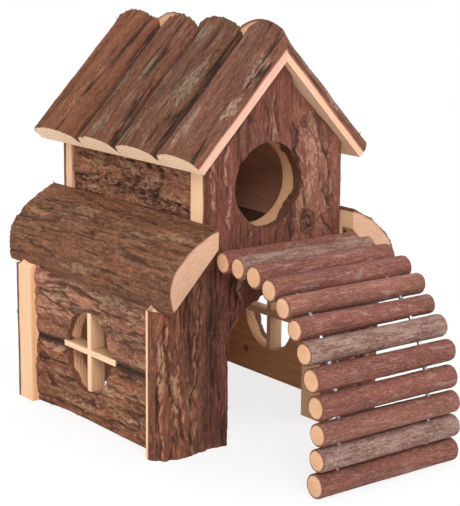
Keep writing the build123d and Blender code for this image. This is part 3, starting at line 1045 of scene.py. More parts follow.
@dataclass
class BarkSlab:
    """One slab sawn off a log: flat inside, bark outside, sawn edges and ends."""

    node: str
    stance: Stance
    outer: Array
    inner: tuple[float, float]
    limits: Limits
    length: float
    relief: Relief
    pith: float
    knots: tuple[Knot, ...] = ()
    patches: tuple[Patch, ...] = ()
    seams: tuple[Seam, ...] = ()
    # valley: how deep the bark sinks by each sawn rim where the next slab meets it; the groove is also
    # painted darker, as painted shade
    valley: tuple[float, float] = (0.0, 0.0)
    inner_knots: tuple[Knot, ...] = ()
    rim_relief: tuple[float, float] = (0.4, 0.4)
    # rim_shade: how much the bark darkens by its sawn rims, as painted shade; it also sets how many fibres
    # grow there
    rim_shade: float = 1.0
    swell: tuple[float, float, float] = (0.0, 0.0, 1.0)
    head_relief: float = 1.0
    inner_step: float = 6.0
    sharp_start: bool = False
    openings: list[tuple[Object, Material]] = field(default_factory=list)

    def build(self, trees: ShapeTrees, materials: dict[str, Material]) -> Object:
        """Build the slab, press its relief, bore its openings and dress it.

        Args:
            trees: The shape trees.
            materials: The materials of its bark, sawn, inner, head and tail surfaces.

        Returns:
            The finished piece.
        """
        piece = new_piece(f"{self.node}_wood", self.smooth_mesh())
        shape_with_tree(piece, trees.slab_relief, **asdict(self.relief), **materials)
        if self.openings:
            self.bore(piece)
        low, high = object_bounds()
        values = {
            "per_square_metre": 1200, "along_edges": 36000, "length": 2.3, "thickness": 0.6, "lift": 0.5,
            "grain": self.stance.grain, "low": tuple(low + Vector((MM, MM, 0)) * 0.2),
            "high": tuple(high - Vector((MM, MM, MM)) * 0.2), "seed": int(self.relief.seed),
            "bark": materials["bark"],
        }
        shape_with_tree(piece, trees.fibres, **values)
        self.measure(piece.data)
        sharpen_between_materials(piece.data)
        return piece

    def bore(self, piece: Object) -> None:
        """Cut the openings, and give their walls their finishes."""
        first = len(piece.data.materials)
        for _, bored in self.openings:
            piece.data.materials.append(bored)
        for index, (cutter, _) in enumerate(self.openings, start=first):
            for material in piece.data.materials:
                cutter.data.materials.append(material)
            cutter.data.polygons.foreach_set("material_index", [index] * len(cutter.data.polygons))
            modifier = piece.modifiers.new("opening", "BOOLEAN")
            modifier.operation = "DIFFERENCE"
            modifier.solver = "EXACT"
            modifier.object = cutter
        apply_modifiers(piece)
        for cutter, _ in self.openings:
            bpy.data.objects.remove(cutter)

    def ring(self) -> tuple[Array, Array, Array]:
        """Points round the slab's cross-section.

        Returns:
            The points as across and out, how far round the bark side each lies, and the share of the
            bark's relief that each takes.
        """
        outer = self.outer
        around = reach_along(outer)
        first_relief, last_relief = self.rim_relief
        first_fade = np.clip(around / RIM_FADE, 0, 1) * (1 - first_relief) + first_relief
        last_fade = np.clip((around[-1] - around) / RIM_FADE, 0, 1) * (1 - last_relief) + last_relief
        share = np.minimum(first_fade, last_fade) * np.clip(outer[:, 1] / RIM_FADE, 0, 1)
        first_corner, last_corner = (np.array([across, 0.0]) for across in self.inner)
        down, down_share = self.edge_rows(outer[-1], last_corner)
        up, up_share = self.edge_rows(outer[0], first_corner)
        count = max(2, math.ceil(abs(self.inner[1] - self.inner[0]) / self.inner_step))
        inner = last_corner + (first_corner - last_corner) * (np.arange(count + 1) / count)[:, None]
        if self.sharp_start:
            inner, up, up_share = inner[:-1], up[:0], up_share[:0]
        points = np.vstack((outer, down, inner, up[::-1]))
        arounds = np.concatenate((around, np.full(len(down), around[-1]), np.zeros(len(inner) + len(up))))
        shares = (share, share[-1] * down_share, np.zeros(len(inner)), share[0] * up_share[::-1])
        return points, arounds, np.concatenate(shares)

    def edge_rows(self, top: Array, bottom: Array) -> Arrays:
        """Return rows of points down a sawn edge, close together under the bark, and their relief shares."""
        length = max(float(np.hypot(*(bottom - top))), 1e-6)
        deepest = min(ROW_DEPTHS[-1], 0.85 * length)
        depths = np.array(ROW_DEPTHS) / ROW_DEPTHS[-1] * deepest
        rows = top + (bottom - top) * (depths / length)[:, None]
        return rows, 1 - depths / (deepest * 1.15)

    def smooth_mesh(self) -> Mesh:
        """Return the slab with no relief, with what the relief tree needs stored on its points."""
        points, around, share = self.ring()
        count = len(points)
        stations = max(2, math.ceil(self.length / POINT_SPACING))
        steps = np.arange(stations + 1) / stations
        across, out = points.T
        normals = self.outward_normals(points)
        places = self.rows_at(steps, across, out)
        pressed = self.rows_at(steps, across - normals[:, 0], out - normals[:, 1])
        along = self.along_at(steps, across, out)
        fade = self.head_relief + (1 - self.head_relief) * np.clip((along - along[0]) / HEAD_FADE, 0, 1)
        inward = (pressed - places) * (share * fade)[:, :, None]
        bark = np.dstack((along, np.broadcast_to(around, along.shape), np.zeros(along.shape)))
        faces = wall_faces(stations, count).tolist()
        surfaces = np.tile(self.ring_surfaces(count), stations).tolist()
        parts = [[part.reshape(-1, 3) for part in (places, inward, bark)]]
        numbers = np.arange((stations + 1) * count).reshape(-1, count)
        rows, outer_count = len(ROW_DEPTHS), len(self.outer)
        first = numbers.size
        for end, surface in ((0, Surface.HEAD), (-1, Surface.TAIL)):
            cap_places, cap_inward = self.cap(end, places[end], inward[end])
            parts.append([cap_places, cap_inward, np.tile(bark[end, 1 : outer_count - 1], (rows, 1))])
            cap_faces = self.cap_faces(numbers[end], first)
            faces += cap_faces
            surfaces += [surface.value] * len(cap_faces)
            first += len(cap_places)
        vertices, inwards, bark_at = (np.vstack(part) for part in zip(*parts))
        mesh = bpy.data.meshes.new(self.node)
        mesh.from_pydata((vertices * MM).tolist(), [], faces)
        from_edge = np.minimum(bark_at[:, 1], bark_at[:, 1].max() - bark_at[:, 1])
        # The rim share darkens the bark by its sawn edges as painted shade, and thickens the fibres there.
        set_attribute(mesh, Attribute.RIM, np.exp(-((from_edge / 1.6) ** 2)) * self.rim_shade)
        set_attribute(mesh, Attribute.PATCH, self.patch_share(bark_at))
        set_attribute(mesh, Attribute.GROOVE, self.groove_depth(bark_at))
        set_attribute(mesh, Attribute.KNOT, self.press_knots(bark_at))
        set_attribute(mesh, Attribute.BARK_PLACE, bark_at, "FLOAT_VECTOR")
        set_attribute(mesh, Attribute.INWARD, inwards * MM, "FLOAT_VECTOR")
        set_attribute(mesh, Attribute.SURFACE, np.array(surfaces), "INT", "FACE")
        mesh.polygons.foreach_set("use_smooth", np.array(surfaces) == Surface.BARK.value)
        with opened(mesh) as shape:
            bmesh.ops.remove_doubles(shape, verts=shape.verts, dist=1e-7)
            bmesh.ops.recalc_face_normals(shape, faces=shape.faces)
        return mesh

    def outward_normals(self, points: Array) -> Array:
        """Return the way that bark is pressed from, per ring point, straight out at the slab's sawn edges."""
        tangents = np.gradient(self.outer, axis=0)
        normals = np.column_stack((-tangents[:, 1], tangents[:, 0]))
        normals *= np.sign(normals[:, 1].sum()) / np.maximum(np.hypot(*normals.T)[:, None], 1e-9)
        spread = np.linspace(0, 1, len(self.outer))
        normals[:, 0] *= np.clip(np.minimum(spread, 1 - spread) * 12, 0, 1)
        result = np.tile([0.0, 1.0], (len(points), 1))
        result[: len(self.outer)] = normals
        return result

    def along_at(self, shares: Array, across: Array, out: Array) -> Array:
        """Return how far along the grain each point of each station lies."""
        start, end = self.limits(across, out)
        return start + (end - start) * shares[:, None]

    def rows_at(self, shares: Array, across: Array, out: Array) -> Array:
        """Return the places in the house of each point of each station, swollen where the log is thicker."""
        along = self.along_at(shares, across, out)
        swollen = out + self.swell_at(along, out)
        return self.stance.to_house(along, np.broadcast_to(across, along.shape), swollen)

    def swell_at(self, along: Array, out: Array) -> Array:
        """Return how much thicker the log is at each place than the rest of it."""
        height, start, end = self.swell
        share = np.clip((along - start) / (end - start), 0, 1)
        thick = np.clip(out / self.outer[0, 1], 0, 1) if height else np.zeros_like(out)
        return height * share**2 * (3 - 2 * share) * thick

    def cap(self, end: int, places: Array, inward: Array) -> Arrays:
        """Points of a sawn end's rows under the bark, between its two sawn edges.

        Args:
            end: 0 for the head and -1 for the tail.
            places: The end's ring in the house.
            inward: The way that each of its points is pressed.

        Returns:
            The new points, and how they are pressed.
        """
        middle = slice(1, len(self.outer) - 1)
        across, out = self.outer[middle].T
        deepest = np.minimum(ROW_DEPTHS[-1], 0.85 * out)
        down, grain = np.array(self.stance.outward), np.array(self.stance.grain)
        sideways = np.array(self.stance.across)
        lean = self.edge_lean()[middle]
        rows = []
        for depth in ROW_DEPTHS:
            drop = depth / ROW_DEPTHS[-1] * deepest
            shift = self.limits(across, out - drop)[end] - self.limits(across, out)[end]
            sunk = places[middle] - drop[:, None] * down + (lean * drop)[:, None] * sideways
            share = 1 - drop / (deepest * 1.15)
            rows.append((sunk + shift[:, None] * grain, inward[middle] * share[:, None]))
        cap_places, cap_inward = (np.vstack(part) for part in zip(*rows))
        return cap_places, cap_inward

    def edge_lean(self) -> Array:
        """Return how far sideways the sawn edges lean per millimetre down, fading away from them."""
        around = reach_along(self.outer)
        leans = [(self.inner[end] - self.outer[end, 0]) / max(self.outer[end, 1], 1.0) for end in (0, -1)]
        near_first = np.clip(1 - around / LEAN_FADE, 0, 1)
        near_last = np.clip(1 - (around[-1] - around) / LEAN_FADE, 0, 1)
        return leans[0] * near_first + leans[1] * near_last

    def last_inner(self, count: int) -> int:
        """Return the number past a ring's last inner point, where the first sawn edge starts to rise."""
        return count if self.sharp_start else count - len(ROW_DEPTHS)

    def ring_surfaces(self, count: int) -> Array:
        """Return which surface each side face of one row belongs to."""
        surfaces = np.full(count, Surface.SAWN.value)
        surfaces[: len(self.outer) - 1] = Surface.BARK.value
        surfaces[len(self.outer) + len(ROW_DEPTHS) : self.last_inner(count) - 1] = Surface.INNER.value
        return surfaces

    def cap_faces(self, ring: Array, first: int) -> list[list[int]]:
        """Faces of one sawn end.

        Args:
            ring: The numbers of the end ring's points.
            first: The number of the end's first row point.

        Returns:
            The faces: strips under the bark, and one large face for the rest.
        """
        rows, width = len(ROW_DEPTHS), len(self.outer)
        grid = np.empty((rows + 1, width), int)
        grid[0] = ring[:width]
        grid[1:, 1:-1] = first + np.arange(rows * (width - 2)).reshape(rows, -1)
        grid[1:, 0] = ring[0] if self.sharp_start else ring[: -rows - 1 : -1]
        grid[1:, -1] = ring[width : width + rows]
        strips = np.stack((grid[:-1, :-1], grid[:-1, 1:], grid[1:, 1:], grid[1:, :-1]), axis=-1)
        rest = np.concatenate((grid[-1], ring[width + rows : self.last_inner(len(ring))]))
        return [list(dict.fromkeys(face)) for face in (*strips.reshape(-1, 4).tolist(), rest.tolist())]

    def patch_share(self, bark_at: Array) -> Array:
        """Return how much of a patch each point is."""
        total = np.zeros(len(bark_at))
        for patch in self.patches:
            along = (bark_at[:, 0] - patch.along) / patch.length
            across = (bark_at[:, 1] - patch.across) / patch.width
            total = np.maximum(total, np.exp(-(along**2 + across**2)))
        for seam in self.seams:
            beyond = seam.offset(bark_at[:, 0], bark_at[:, 1]) - seam.lip
            pale = np.exp(-((beyond / 0.9) ** 2)) * seam.share(bark_at[:, 0])
            total = np.maximum(total, pale * min(abs(seam.lip) / 1.5, 1.0))
        return total

    def groove_depth(self, bark_at: Array) -> Array:
        """Return how deep each point lies in a seam, or in the valley beside the next slab."""
        # Every groove sinks the bark and is painted darker by its depth, as painted shade.
        from_last = bark_at[:, 1].max() - bark_at[:, 1]
        total = self.valley[0] * np.exp(-((bark_at[:, 1] / 3.2) ** 2))
        total = total + self.valley[1] * np.exp(-((from_last / 3.2) ** 2))
        for seam in self.seams:
            offset = seam.offset(bark_at[:, 0], bark_at[:, 1]) / seam.width
            total = np.maximum(total, seam.depth * np.exp(-(offset**2)) * seam.share(bark_at[:, 0]))
        return total

    def press_knots(self, bark_at: Array) -> Array:
        """Bend the bark's pattern round each knot, and return how much of a knot each point is."""
        total = np.zeros(len(bark_at))
        for knot in self.knots:
            away = bark_at[:, :2] - np.array([knot.along, knot.across])
            distance = np.hypot(away[:, 0] / 1.4, away[:, 1])
            core = np.exp(-((distance / knot.radius) ** 2))
            swirl = np.exp(-((distance / (2.2 * knot.radius)) ** 2))
            bark_at[:, 1] += away[:, 1] * swirl * 1.6
            bark_at[:, 0] += away[:, 0] * swirl * 0.9
            total = np.maximum(total, core * knot.rise)
        return total

    def measure(self, mesh: Mesh) -> None:
        """Store each point's place in its log and its depth under the bark."""
        in_log = self.stance.to_log(places_of(mesh))
        in_log[:, 2] -= self.swell_at(in_log[:, 0], in_log[:, 2])
        starts = self.outer[:-1]
        ways = np.diff(self.outer, axis=0)
        lengths = np.maximum((ways**2).sum(axis=1), 1e-9)
        depth = np.empty(len(in_log))
        chunk = 20000
        for first in range(0, len(in_log), chunk):
            at = in_log[first : first + chunk, None, 1:]
            share = np.clip(((at - starts) * ways).sum(axis=2) / lengths, 0, 1)
            nearest = starts + ways * share[:, :, None]
            depth[first : first + chunk] = np.sqrt(((at - nearest) ** 2).sum(axis=2)).min(axis=1)
        if self.inner_knots:
            knots = np.zeros(len(in_log), np.float32)
            mesh.attributes[Attribute.KNOT.value].data.foreach_get("value", knots)
            for knot in self.inner_knots:
                distance = np.hypot(in_log[:, 0] - knot.along, in_log[:, 1] - knot.across)
                core = knot.rise * np.exp(-((distance / knot.radius) ** 4))
                knots = np.where(in_log[:, 2] < 0.01, np.maximum(knots, core), knots)
            set_attribute(mesh, Attribute.KNOT, knots)
        from_pith = in_log - np.array([0.0, (self.inner[0] + self.inner[1]) / 2, -self.pith])
        set_attribute(mesh, Attribute.PLACE, from_pith, "FLOAT_VECTOR")
        set_attribute(mesh, Attribute.DEPTH, depth)


# Openings


def outline_cutter(outline: Array, stance: Stance, low: float, high: float, rows: int) -> Object:
    """Make a closed block that bores an outline through a slab.

    Args:
        outline: The opening's outline, as two coordinates along grain and across of the stance.
        stance: Where the outline lies, with outward along the bore.
        low: Where the block starts, along the bore.
        high: Where it ends.
        rows: How many rows of faces its wall has.

    Returns:
        The block, as an object.
    """
    count = len(outline)
    levels = low + (high - low) * np.arange(rows + 1) / rows
    points = [stance.to_house(outline[:, 0], outline[:, 1], np.full(count, level)) for level in levels]
    ends = [[start + index for index in range(count)] for start in (0, rows * count)]
    mesh = bpy.data.meshes.new("cutter")
    mesh.from_pydata((np.vstack(points) * MM).tolist(), [], wall_faces(rows, count).tolist() + ends)
    with opened(mesh) as shape:
        bmesh.ops.recalc_face_normals(shape, faces=shape.faces)
        for face in shape.faces:
            face.smooth = len(face.verts) == 4
    return new_piece("cutter", mesh)


def round_outline(along: float, across: float, diameter: float, wobble: float, seed: int) -> Array:
    """Return a bored hole's outline, a little out of round by a share of its radius."""
    angles = np.arange(120) / 120 * math.tau
    rng = np.random.default_rng(seed)
    radius = np.full(len(angles), diameter / 2)
    for turn in (2, 3, 5, 9):
        share = wobble * diameter / turn * rng.uniform(-1, 1)
        radius += share * np.cos(turn * angles + rng.uniform(0, math.tau))
    return np.column_stack((along + radius * np.sin(angles), across + radius * np.cos(angles)))


def arch_outline(half_width: float, spring: float, rise: float, below: float) -> Array:
    """Return a doorway's outline, a half ellipse over two upright sides."""
    angles = np.arange(61) / 60 * math.pi
    arch = np.column_stack((spring + rise * np.sin(angles), half_width * np.cos(angles)))
    sides = np.linspace(spring, -below, 12)[1:]
    left = np.column_stack((sides, np.full(len(sides), -half_width)))
    right = np.column_stack((sides[::-1], np.full(len(sides), half_width)))
    return np.vstack((arch, left, right))


# The house


@dataclass
class House:
    """The tower, the two wings and the gable roof, with the sizes that their slabs are sawn to."""

    trees: ShapeTrees
    bark: dict[str, Material]
    cut: dict[str, Material]
    roof_apex: float = 177.5
    roof_angle: float = 46.0
    slope_length: float = 66.2
    slat_edge: float = 5.0
    thin_rake: float = 0.9
    slat_shoulder: Shoulder = Shoulder(5.2, 7.35)
    front_edge: float = 11.0
    front_shoulder: Shoulder = Shoulder(3.0, 4.6)
    back_edge: float = 7.0
    back_shoulder: Shoulder = Shoulder(2.4, 3.8)
    side_edge: float = 5.0
    side_shoulder: Shoulder = Shoulder(2.2, 3.4)
    floor_top: float = 96.0
    entrance_x: float = -6.0
    entrance_height: float = 121.2
    entrance_diameter: float = 39.5
    doorway_width: float = 56.0
    doorway_spring: float = 47.0
    doorway_rise: float = 24.0
    wing_front_edge: float = 2.2
    wing_front_corner: tuple[float, float] = (8.0, 7.2)
    wing_front_crown: float = 8.4
    wing_front_joint: float = 6.0
    wing_back_edge: float = 13.6
    wing_back_shoulder: Shoulder = Shoulder(2.6, 3.8)
    window_wall_edge: float = 6.9
    window_wall_shoulder: Shoulder = Shoulder(2.2, 3.4)
    window_diameter: float = 39.7
    wing_roof_low: float = 69.4
    wing_roof_inset: float = 3.5
    wing_roof_angle: float = 46.5
    wing_roof_cut: float = 10.1
    wing_roof_shoulder: tuple[float, float] = (6.8, 23.4)
    wing_roof_swell: tuple[float, float] = (2.0, 2.0)
    rail_tail: float = 3.0
    strip_width: float = 3.2

    def __post_init__(self) -> None:
        """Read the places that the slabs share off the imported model."""
        low, high = box("front_wall_left_slab")
        self.crown_y, self.front_inner_y, self.half_tower = low[Y], high[Y], -low[X]
        low, high = box("back_wall_left_slab")
        self.back_inner_y, self.back_joint = low[Y], high[X]
        self.front_joint = box("front_wall_right_slab")[0][X]
        self.slope = math.tan(math.radians(self.roof_angle))
        self.wing_slope = math.tan(math.radians(self.wing_roof_angle))
        self.wing_outer = box("right_wing_front_slab")[1][X]
        self.low_x = self.wing_outer - self.wing_roof_inset

    def put(self, slab: BarkSlab, bark: str, **cuts: str) -> None:
        """Build a slab and fix it to the house in place of its node.

        Args:
            slab: The slab.
            bark: The name of its bark.
            cuts: The names of its sawn, inner, head and tail finishes, where they aren't the usual ones.
        """
        named = {"sawn": "sawn", "inner": "inner", "head": "sawn", "tail": "sawn"} | cuts
        materials = {surface: self.cut[name] for surface, name in named.items()}
        piece = slab.build(self.trees, {"bark": self.bark[bark]} | materials)
        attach(piece, "house")
        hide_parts(slab.node)
        log.info("%s: %d faces", piece.name, len(piece.data.polygons))

    def under_wing_roof(self, x: Array | float) -> Array:
        """Return the height of a wing roof's flat underside, level beyond its low edge."""
        return self.wing_roof_low + np.maximum(self.low_x - np.abs(x), 0) * self.wing_slope

    def gable_limits(self, across: Array, out: Array) -> Arrays:
        """Return where an upright tower slab starts and ends, from the ground to the roof."""
        return np.zeros_like(across), self.roof_apex - np.abs(across) * self.slope

    def wing_limits(self, across: Array, out: Array) -> Arrays:
        """Return where an upright wing slab starts and ends, from the ground to the wing's roof."""
        return np.zeros_like(across), self.under_wing_roof(across)

    def level_limits(self, first: float, last: float) -> Limits:
        """Return the limits of a slab whose ends are sawn square."""
        return lambda across, out: (np.full_like(across, first), np.full_like(across, last))

    def tower_front(self) -> None:
        """Build the front wall's two slabs, with the entrance and the doorway."""
        stance = Stance((0, self.front_inner_y, 0), (0, 0, 1), (1, 0, 0), (0, -1, 0))
        edge_route = (
            (162, -1.4), (153, -0.6), (146, 3.5), (144, 5.2), (138, 2.6), (136, 0.8), (132, 3.9), (123, 5.2),
            (120, 6.5), (116, 4.3), (111, 0),
        )
        side_route = ((145, 20.8), (134, 19.4), (121, 23.9), (115, 19.4), (107, 23.2), (103, 26.9))
        left = {
            "inner": (-self.half_tower, self.front_joint),
            "relief": Relief(lump=0.5, flake=0.5, grain_reach=42, seed=2),
            "knots": (Knot(151.8, 23.6, 1.5, 0.95), Knot(133, 24, 0.9)),
            "patches": (Patch(153, 37.5, 15, 1.5), Patch(126, 4, 12, 1.6)),
            "seams": (
                Seam(((168, 39.5), (158, 39), (150, 40.6), (139, 41.6)), 0.8, 1.8, lip=-1.7),
                Seam(((149, 23.5), (137, 24.4)), 0.7, 1.8, lip=-1.2),
                Seam(((135, 4.3), (126, 3.3), (111, 4)), 0.6, 1.4),
                Seam(((147, 11), (133, 9), (120, 11.3), (98, 11.5)), 1.4, 0.9, lip=1.5),
                Seam(((107, 46.7), (92, 47.6)), 0.8, 1.4, lip=-1.2),
                Seam(((105, 22.3), (94, 22.9)), 0.8, 1.2, lip=1.2),
                # A wide groove down the slab's outer leg: painted shade under the ladder, darkening the bark
                # there.
                Seam(((74, 7), (50, 5), (30, 7), (-4, 6)), 6, 1.2),
                Seam(((90, 20), (76, 18), (40, 14)), 0.8, 1.6, lip=1.2),
            ),
        }
        right = {
            "inner": (self.front_joint, self.half_tower),
            "relief": Relief(ridge=0.2, flake=1.2, fissure=0.55, grain_reach=24, fissure_spacing=7, seed=5),
            "knots": (Knot(148.5, 9, 2.4, 0.7), Knot(101.2, 10.3, 4.2, 0.9), Knot(133, 21.7, 1.2)),
            "patches": (Patch(134, 13, 20, 5), Patch(108, 6, 9, 2)),
            "seams": (
                Seam(edge_route, 1.5, 2.2, lip=2, wave=0.25),
                Seam(side_route, 0.8, 1.5, lip=-1.4),
                Seam(((136, 12.6), (128, 13.4)), 0.5, 1.6, lip=1.1),
                Seam(((92, 14), (70, 22), (40, 24), (10, 26)), 0.8, 1.6, lip=1.2),
            ),
            "swell": (-3.6, 134, 160),
        }
        for word, looks in (("left", left), ("right", right)):
            slab = BarkSlab(
                node=f"front_wall_{word}_slab", stance=stance,
                outer=self.front_shoulder.curve(*looks["inner"], self.front_edge), limits=self.gable_limits,
                length=self.roof_apex, pith=34, **looks,
            )
            deep = self.front_edge + self.front_shoulder.crown + 4
            hole = round_outline(self.entrance_height, self.entrance_x, self.entrance_diameter, 0.006, 4)
            door = arch_outline(self.doorway_width / 2, self.doorway_spring, self.doorway_rise, 6)
            for outline, cut in ((hole, "bored_thick"), (door, "jamb")):
                slab.openings.append((outline_cutter(outline, stance, BEHIND_FACE, deep, 22), self.cut[cut]))
            self.put(slab, f"front_{word}", inner="inner_dark")

    def tower_back(self) -> None:
        """Build the back wall's two slabs."""
        left, right = (-self.half_tower, self.back_joint), (self.back_joint, self.half_tower)
        for word, inner, seed in (("left", left, 11), ("right", right, 14)):
            slab = BarkSlab(
                node=f"back_wall_{word}_slab",
                stance=Stance((0, self.back_inner_y, 0), (0, 0, 1), (1, 0, 0), (0, 1, 0)),
                outer=self.back_shoulder.curve(*inner, self.back_edge), inner=inner, limits=self.gable_limits,
                length=self.roof_apex, relief=Relief(seed=seed), pith=30,
                knots=(Knot(60 + seed, 14, 2.2), Knot(128 - seed, 20, 1.8)),
            )
            self.put(slab, "back", inner="inner_dark")

    def tower_sides(self) -> None:
        """Build the tower's two side walls."""
        for side, word in SIDES:
            node = f"tower_{word}_side_wall"
            low, high = box(node)
            inner_x = (high if side < 0 else low)[X]
            reach = abs(inner_x) + self.side_edge
            top = self.roof_apex - reach * self.slope
            outer = self.side_shoulder.curve(self.floor_top, top, self.side_edge)
            limit = self.roof_apex - (abs(inner_x) + outer[:, 1]) * self.slope
            outer[:, 0] = np.minimum(outer[:, 0], limit)
            slab = BarkSlab(
                node=node, stance=Stance((inner_x, 0, 0), (0, 1, 0), (0, 0, 1), (side, 0, 0)), outer=outer,
                inner=(self.floor_top, self.roof_apex - abs(inner_x) * self.slope),
                limits=self.level_limits(self.front_inner_y, self.back_inner_y),
                length=self.back_inner_y - self.front_inner_y,
                relief=Relief(flake=1, grain_reach=16, seed=21 if side < 0 else 24), pith=22,
                knots=(Knot(66, 22, 1.6, 0.6), Knot(12, 24, 1.6, 0.6)),
                patches=(Patch(41, 29, 8, 4), Patch(20, 25, 9, 4), Patch(70, 12, 9, 3)),
                seams=(
                    Seam(((-20, 14), (30, 19), (86, 17)), 0.9, 1.6, lip=1.4),
                    Seam(((20, 30), (60, 27), (84, 29)), 0.7, 1.4, lip=-1.2),
                ),
            )
            self.put(slab, "side", inner="inner_dark")

    def roof_slats(self) -> None:
        """Build the gable roof's eight slats, four on each slope."""
        cos, sin = math.cos(math.radians(self.roof_angle)), math.sin(math.radians(self.roof_angle))

        def limits(across: Array, out: Array) -> Arrays:
            """Return the plumb cut at the ridge and the square one at the eave."""
            return -out * self.slope, np.full_like(across, self.slope_length)

        patches = (
            (Patch(15, 5, 12, 3.6), Patch(34, 3.5, 10, 3), Patch(50, 22, 14, 4)),
            (Patch(26, 10.5, 18, 4.8), Patch(-4, 28, 9, 4), Patch(52, 26, 12, 3)),
            (Patch(34, 31, 13, 4.6), Patch(57, 17.5, 10, 4.8), Patch(20, 14, 9, 3)),
            (Patch(14.5, 27.5, 2.4, 1), Patch(44, 18, 18, 4)),
        )
        seams = (
            (Seam(((30, 15.5), (60, 13.7)), 0.7, 1), Seam(((-4, 24), (40, 26)), 0.7, 1.2)),
            (Seam(((-10, 33.9), (15, 31.2), (70, 28.6)), 1, 1.8),),
            (
                Seam(((16, 8), (41, 6.6), (70, 3.2)), 0.8, 1.8),
                Seam(((-8, 25.8), (12, 28.2), (29, 28), (44, 27.1), (70, 26.8)), 1, 1.9),
                Seam(((28, 20), (50, 15), (70, 12)), 0.8, 1.5),
            ),
            (
                Seam(((-8, 34.6), (21, 36), (70, 34.7)), 0.8, 1.7),
                Seam(((-13, 30.3), (11, 31.4), (49, 31)), 0.8, 1.5),
                Seam(((30, 8), (70, 6)), 0.8, 1.2),
            ),
        )
        barks = ("roof_front", "roof_second", "roof_third", "roof_rear")
        head_reliefs = {-1: (0.35, 0.6, 0.85, 0.7), 1: (0, 0.5, 0.25, 0.6)}
        depth = 1.9
        for side, word in SIDES:
            for index in range(4):
                is_front, is_rear = index == 0, index == 3
                node = f"roof_{word}_slat_{index + 1}"
                low, high = box(node)
                outer = self.slat_shoulder.curve(low[Y], high[Y], self.slat_edge)
                if is_front and side > 0:
                    outer[:, 1] -= self.thin_rake * np.exp(-(((outer[:, 0] - low[Y]) / 2.2) ** 2))
                slab = BarkSlab(
                    node=node,
                    stance=Stance(
                        (0, 0, self.roof_apex), (side * cos, 0, -sin), (0, 1, 0), (side * sin, 0, cos)
                    ),
                    outer=outer, inner=(low[Y], high[Y]), limits=limits,
                    length=self.slope_length + (self.slat_edge + self.slat_shoulder.crown) * self.slope / 2,
                    relief=Relief(
                        lump=0.55, ridge=0.65, flake=0.4, fissure=1.1, grain_reach=60, fissure_spacing=5.5,
                        seed=33 + index * 3 + (20 if side > 0 else 0),
                    ),
                    pith=12, patches=patches[index], seams=seams[index],
                    # The valleys between slats are sunk and painted darker, as painted shade.
                    valley=(0 if is_front else depth, 0 if is_rear else depth),
                    rim_relief=(0.05 if is_front else 0.7, 0.7), rim_shade=0.35 if is_front else 1,
                    head_relief=head_reliefs[side][index],
                )
                rake = "rake" if side < 0 else "rake_warm"
                head = "ridge_pale" if side > 0 and index in (0, 2) else "ridge"
                self.put(slab, barks[index], sawn=rake, inner="roof_inner", head=head, tail="eave")

    def wings(self) -> None:
        """Build the slabs, window walls and roofs of both wings."""
        for side, word in SIDES:
            self.wing_uprights(side, word)
            self.window_wall(side, word)
            self.wing_roof(side, word)

    def wing_uprights(self, side: int, word: str) -> None:
        """Build one wing's front and back slabs.

        Args:
            side: -1 for the left wing and 1 for the right one.
            word: The side as a word.
        """
        outer_x, inner_x = side * self.wing_outer, side * self.half_tower
        edge, (run, rise), shoulder = self.wing_front_edge, self.wing_front_corner, self.front_shoulder
        corner = (outer_x - side * run, edge + rise)
        corner_middle = (outer_x - side * run * shoulder.middle_run, edge + rise * shoulder.middle_rise)
        joint = (inner_x, edge + self.wing_front_joint)
        top = ((corner[0] + joint[0]) / 2, edge + self.wing_front_crown)
        seed = 60 + 3 * side
        shared = {
            "inner": (outer_x, inner_x), "limits": self.wing_limits,
            "length": self.under_wing_roof(self.half_tower), "pith": 14,
        }
        node = f"{word}_wing_front_slab"
        slab = BarkSlab(
            node=node, stance=Stance((0, box(node)[1][Y], 0), (0, 0, 1), (1, 0, 0), (0, -1, 0)),
            outer=arcs((outer_x, edge), corner_middle, corner, top, joint),
            relief=Relief(fissure=0.9, grain_reach=40, fissure_spacing=5, seed=seed),
            patches=(Patch(30, 14, 12, 2.4), Patch(14, 24, 16, 2), Patch(44, 6, 14, 2)),
            seams=(
                Seam(
                    ((68, 9.5), (59, 7.7), (49, 8.9), (36, 11.4), (27, 12.7), (22, 15.8), (4, 19.7)),
                    0.9, 1.8, lip=1.5,
                ),
                Seam(((86, 28), (68, 28.2), (56, 26.3), (37, 25.9), (29, 22.7), (16, 22.1)), 1, 2, lip=-1.5),
                Seam(((41, 17.6), (30, 20.8), (23, 22.8)), 0.7, 1.6, lip=1.2),
                Seam(((41, 4), (33, 3.4), (16, 5.2), (-4, 5.9)), 0.7, 1.4, lip=1.2),
                # Two wide grooves darken the slab's side towards the tower: partly darker bark, partly
                # painted shade where it turns from the light.
                Seam(((94, 23), (70, 22), (40, 22), (-6, 27)), 4.6, 1.1),
                Seam(((96, 35.7), (60, 36), (28, 32.7), (-6, 33)), 3.6, 1.3),
                Seam(((70, 12.6), (58, 13.2), (46, 12)), 0.6, 1.2, lip=1.1),
            ),
            rim_relief=(0.1, 0.5), rim_shade=0.2, **shared,
        )
        self.put(slab, "wing_front", sawn="sawn_thin")
        node = f"{word}_wing_back_slab"
        slab = BarkSlab(
            node=node, stance=Stance((0, box(node)[0][Y], 0), (0, 0, 1), (1, 0, 0), (0, 1, 0)),
            outer=self.wing_back_shoulder.curve(outer_x, inner_x, self.wing_back_edge),
            relief=Relief(seed=seed + 7), **shared,
        )
        self.put(slab, "back")

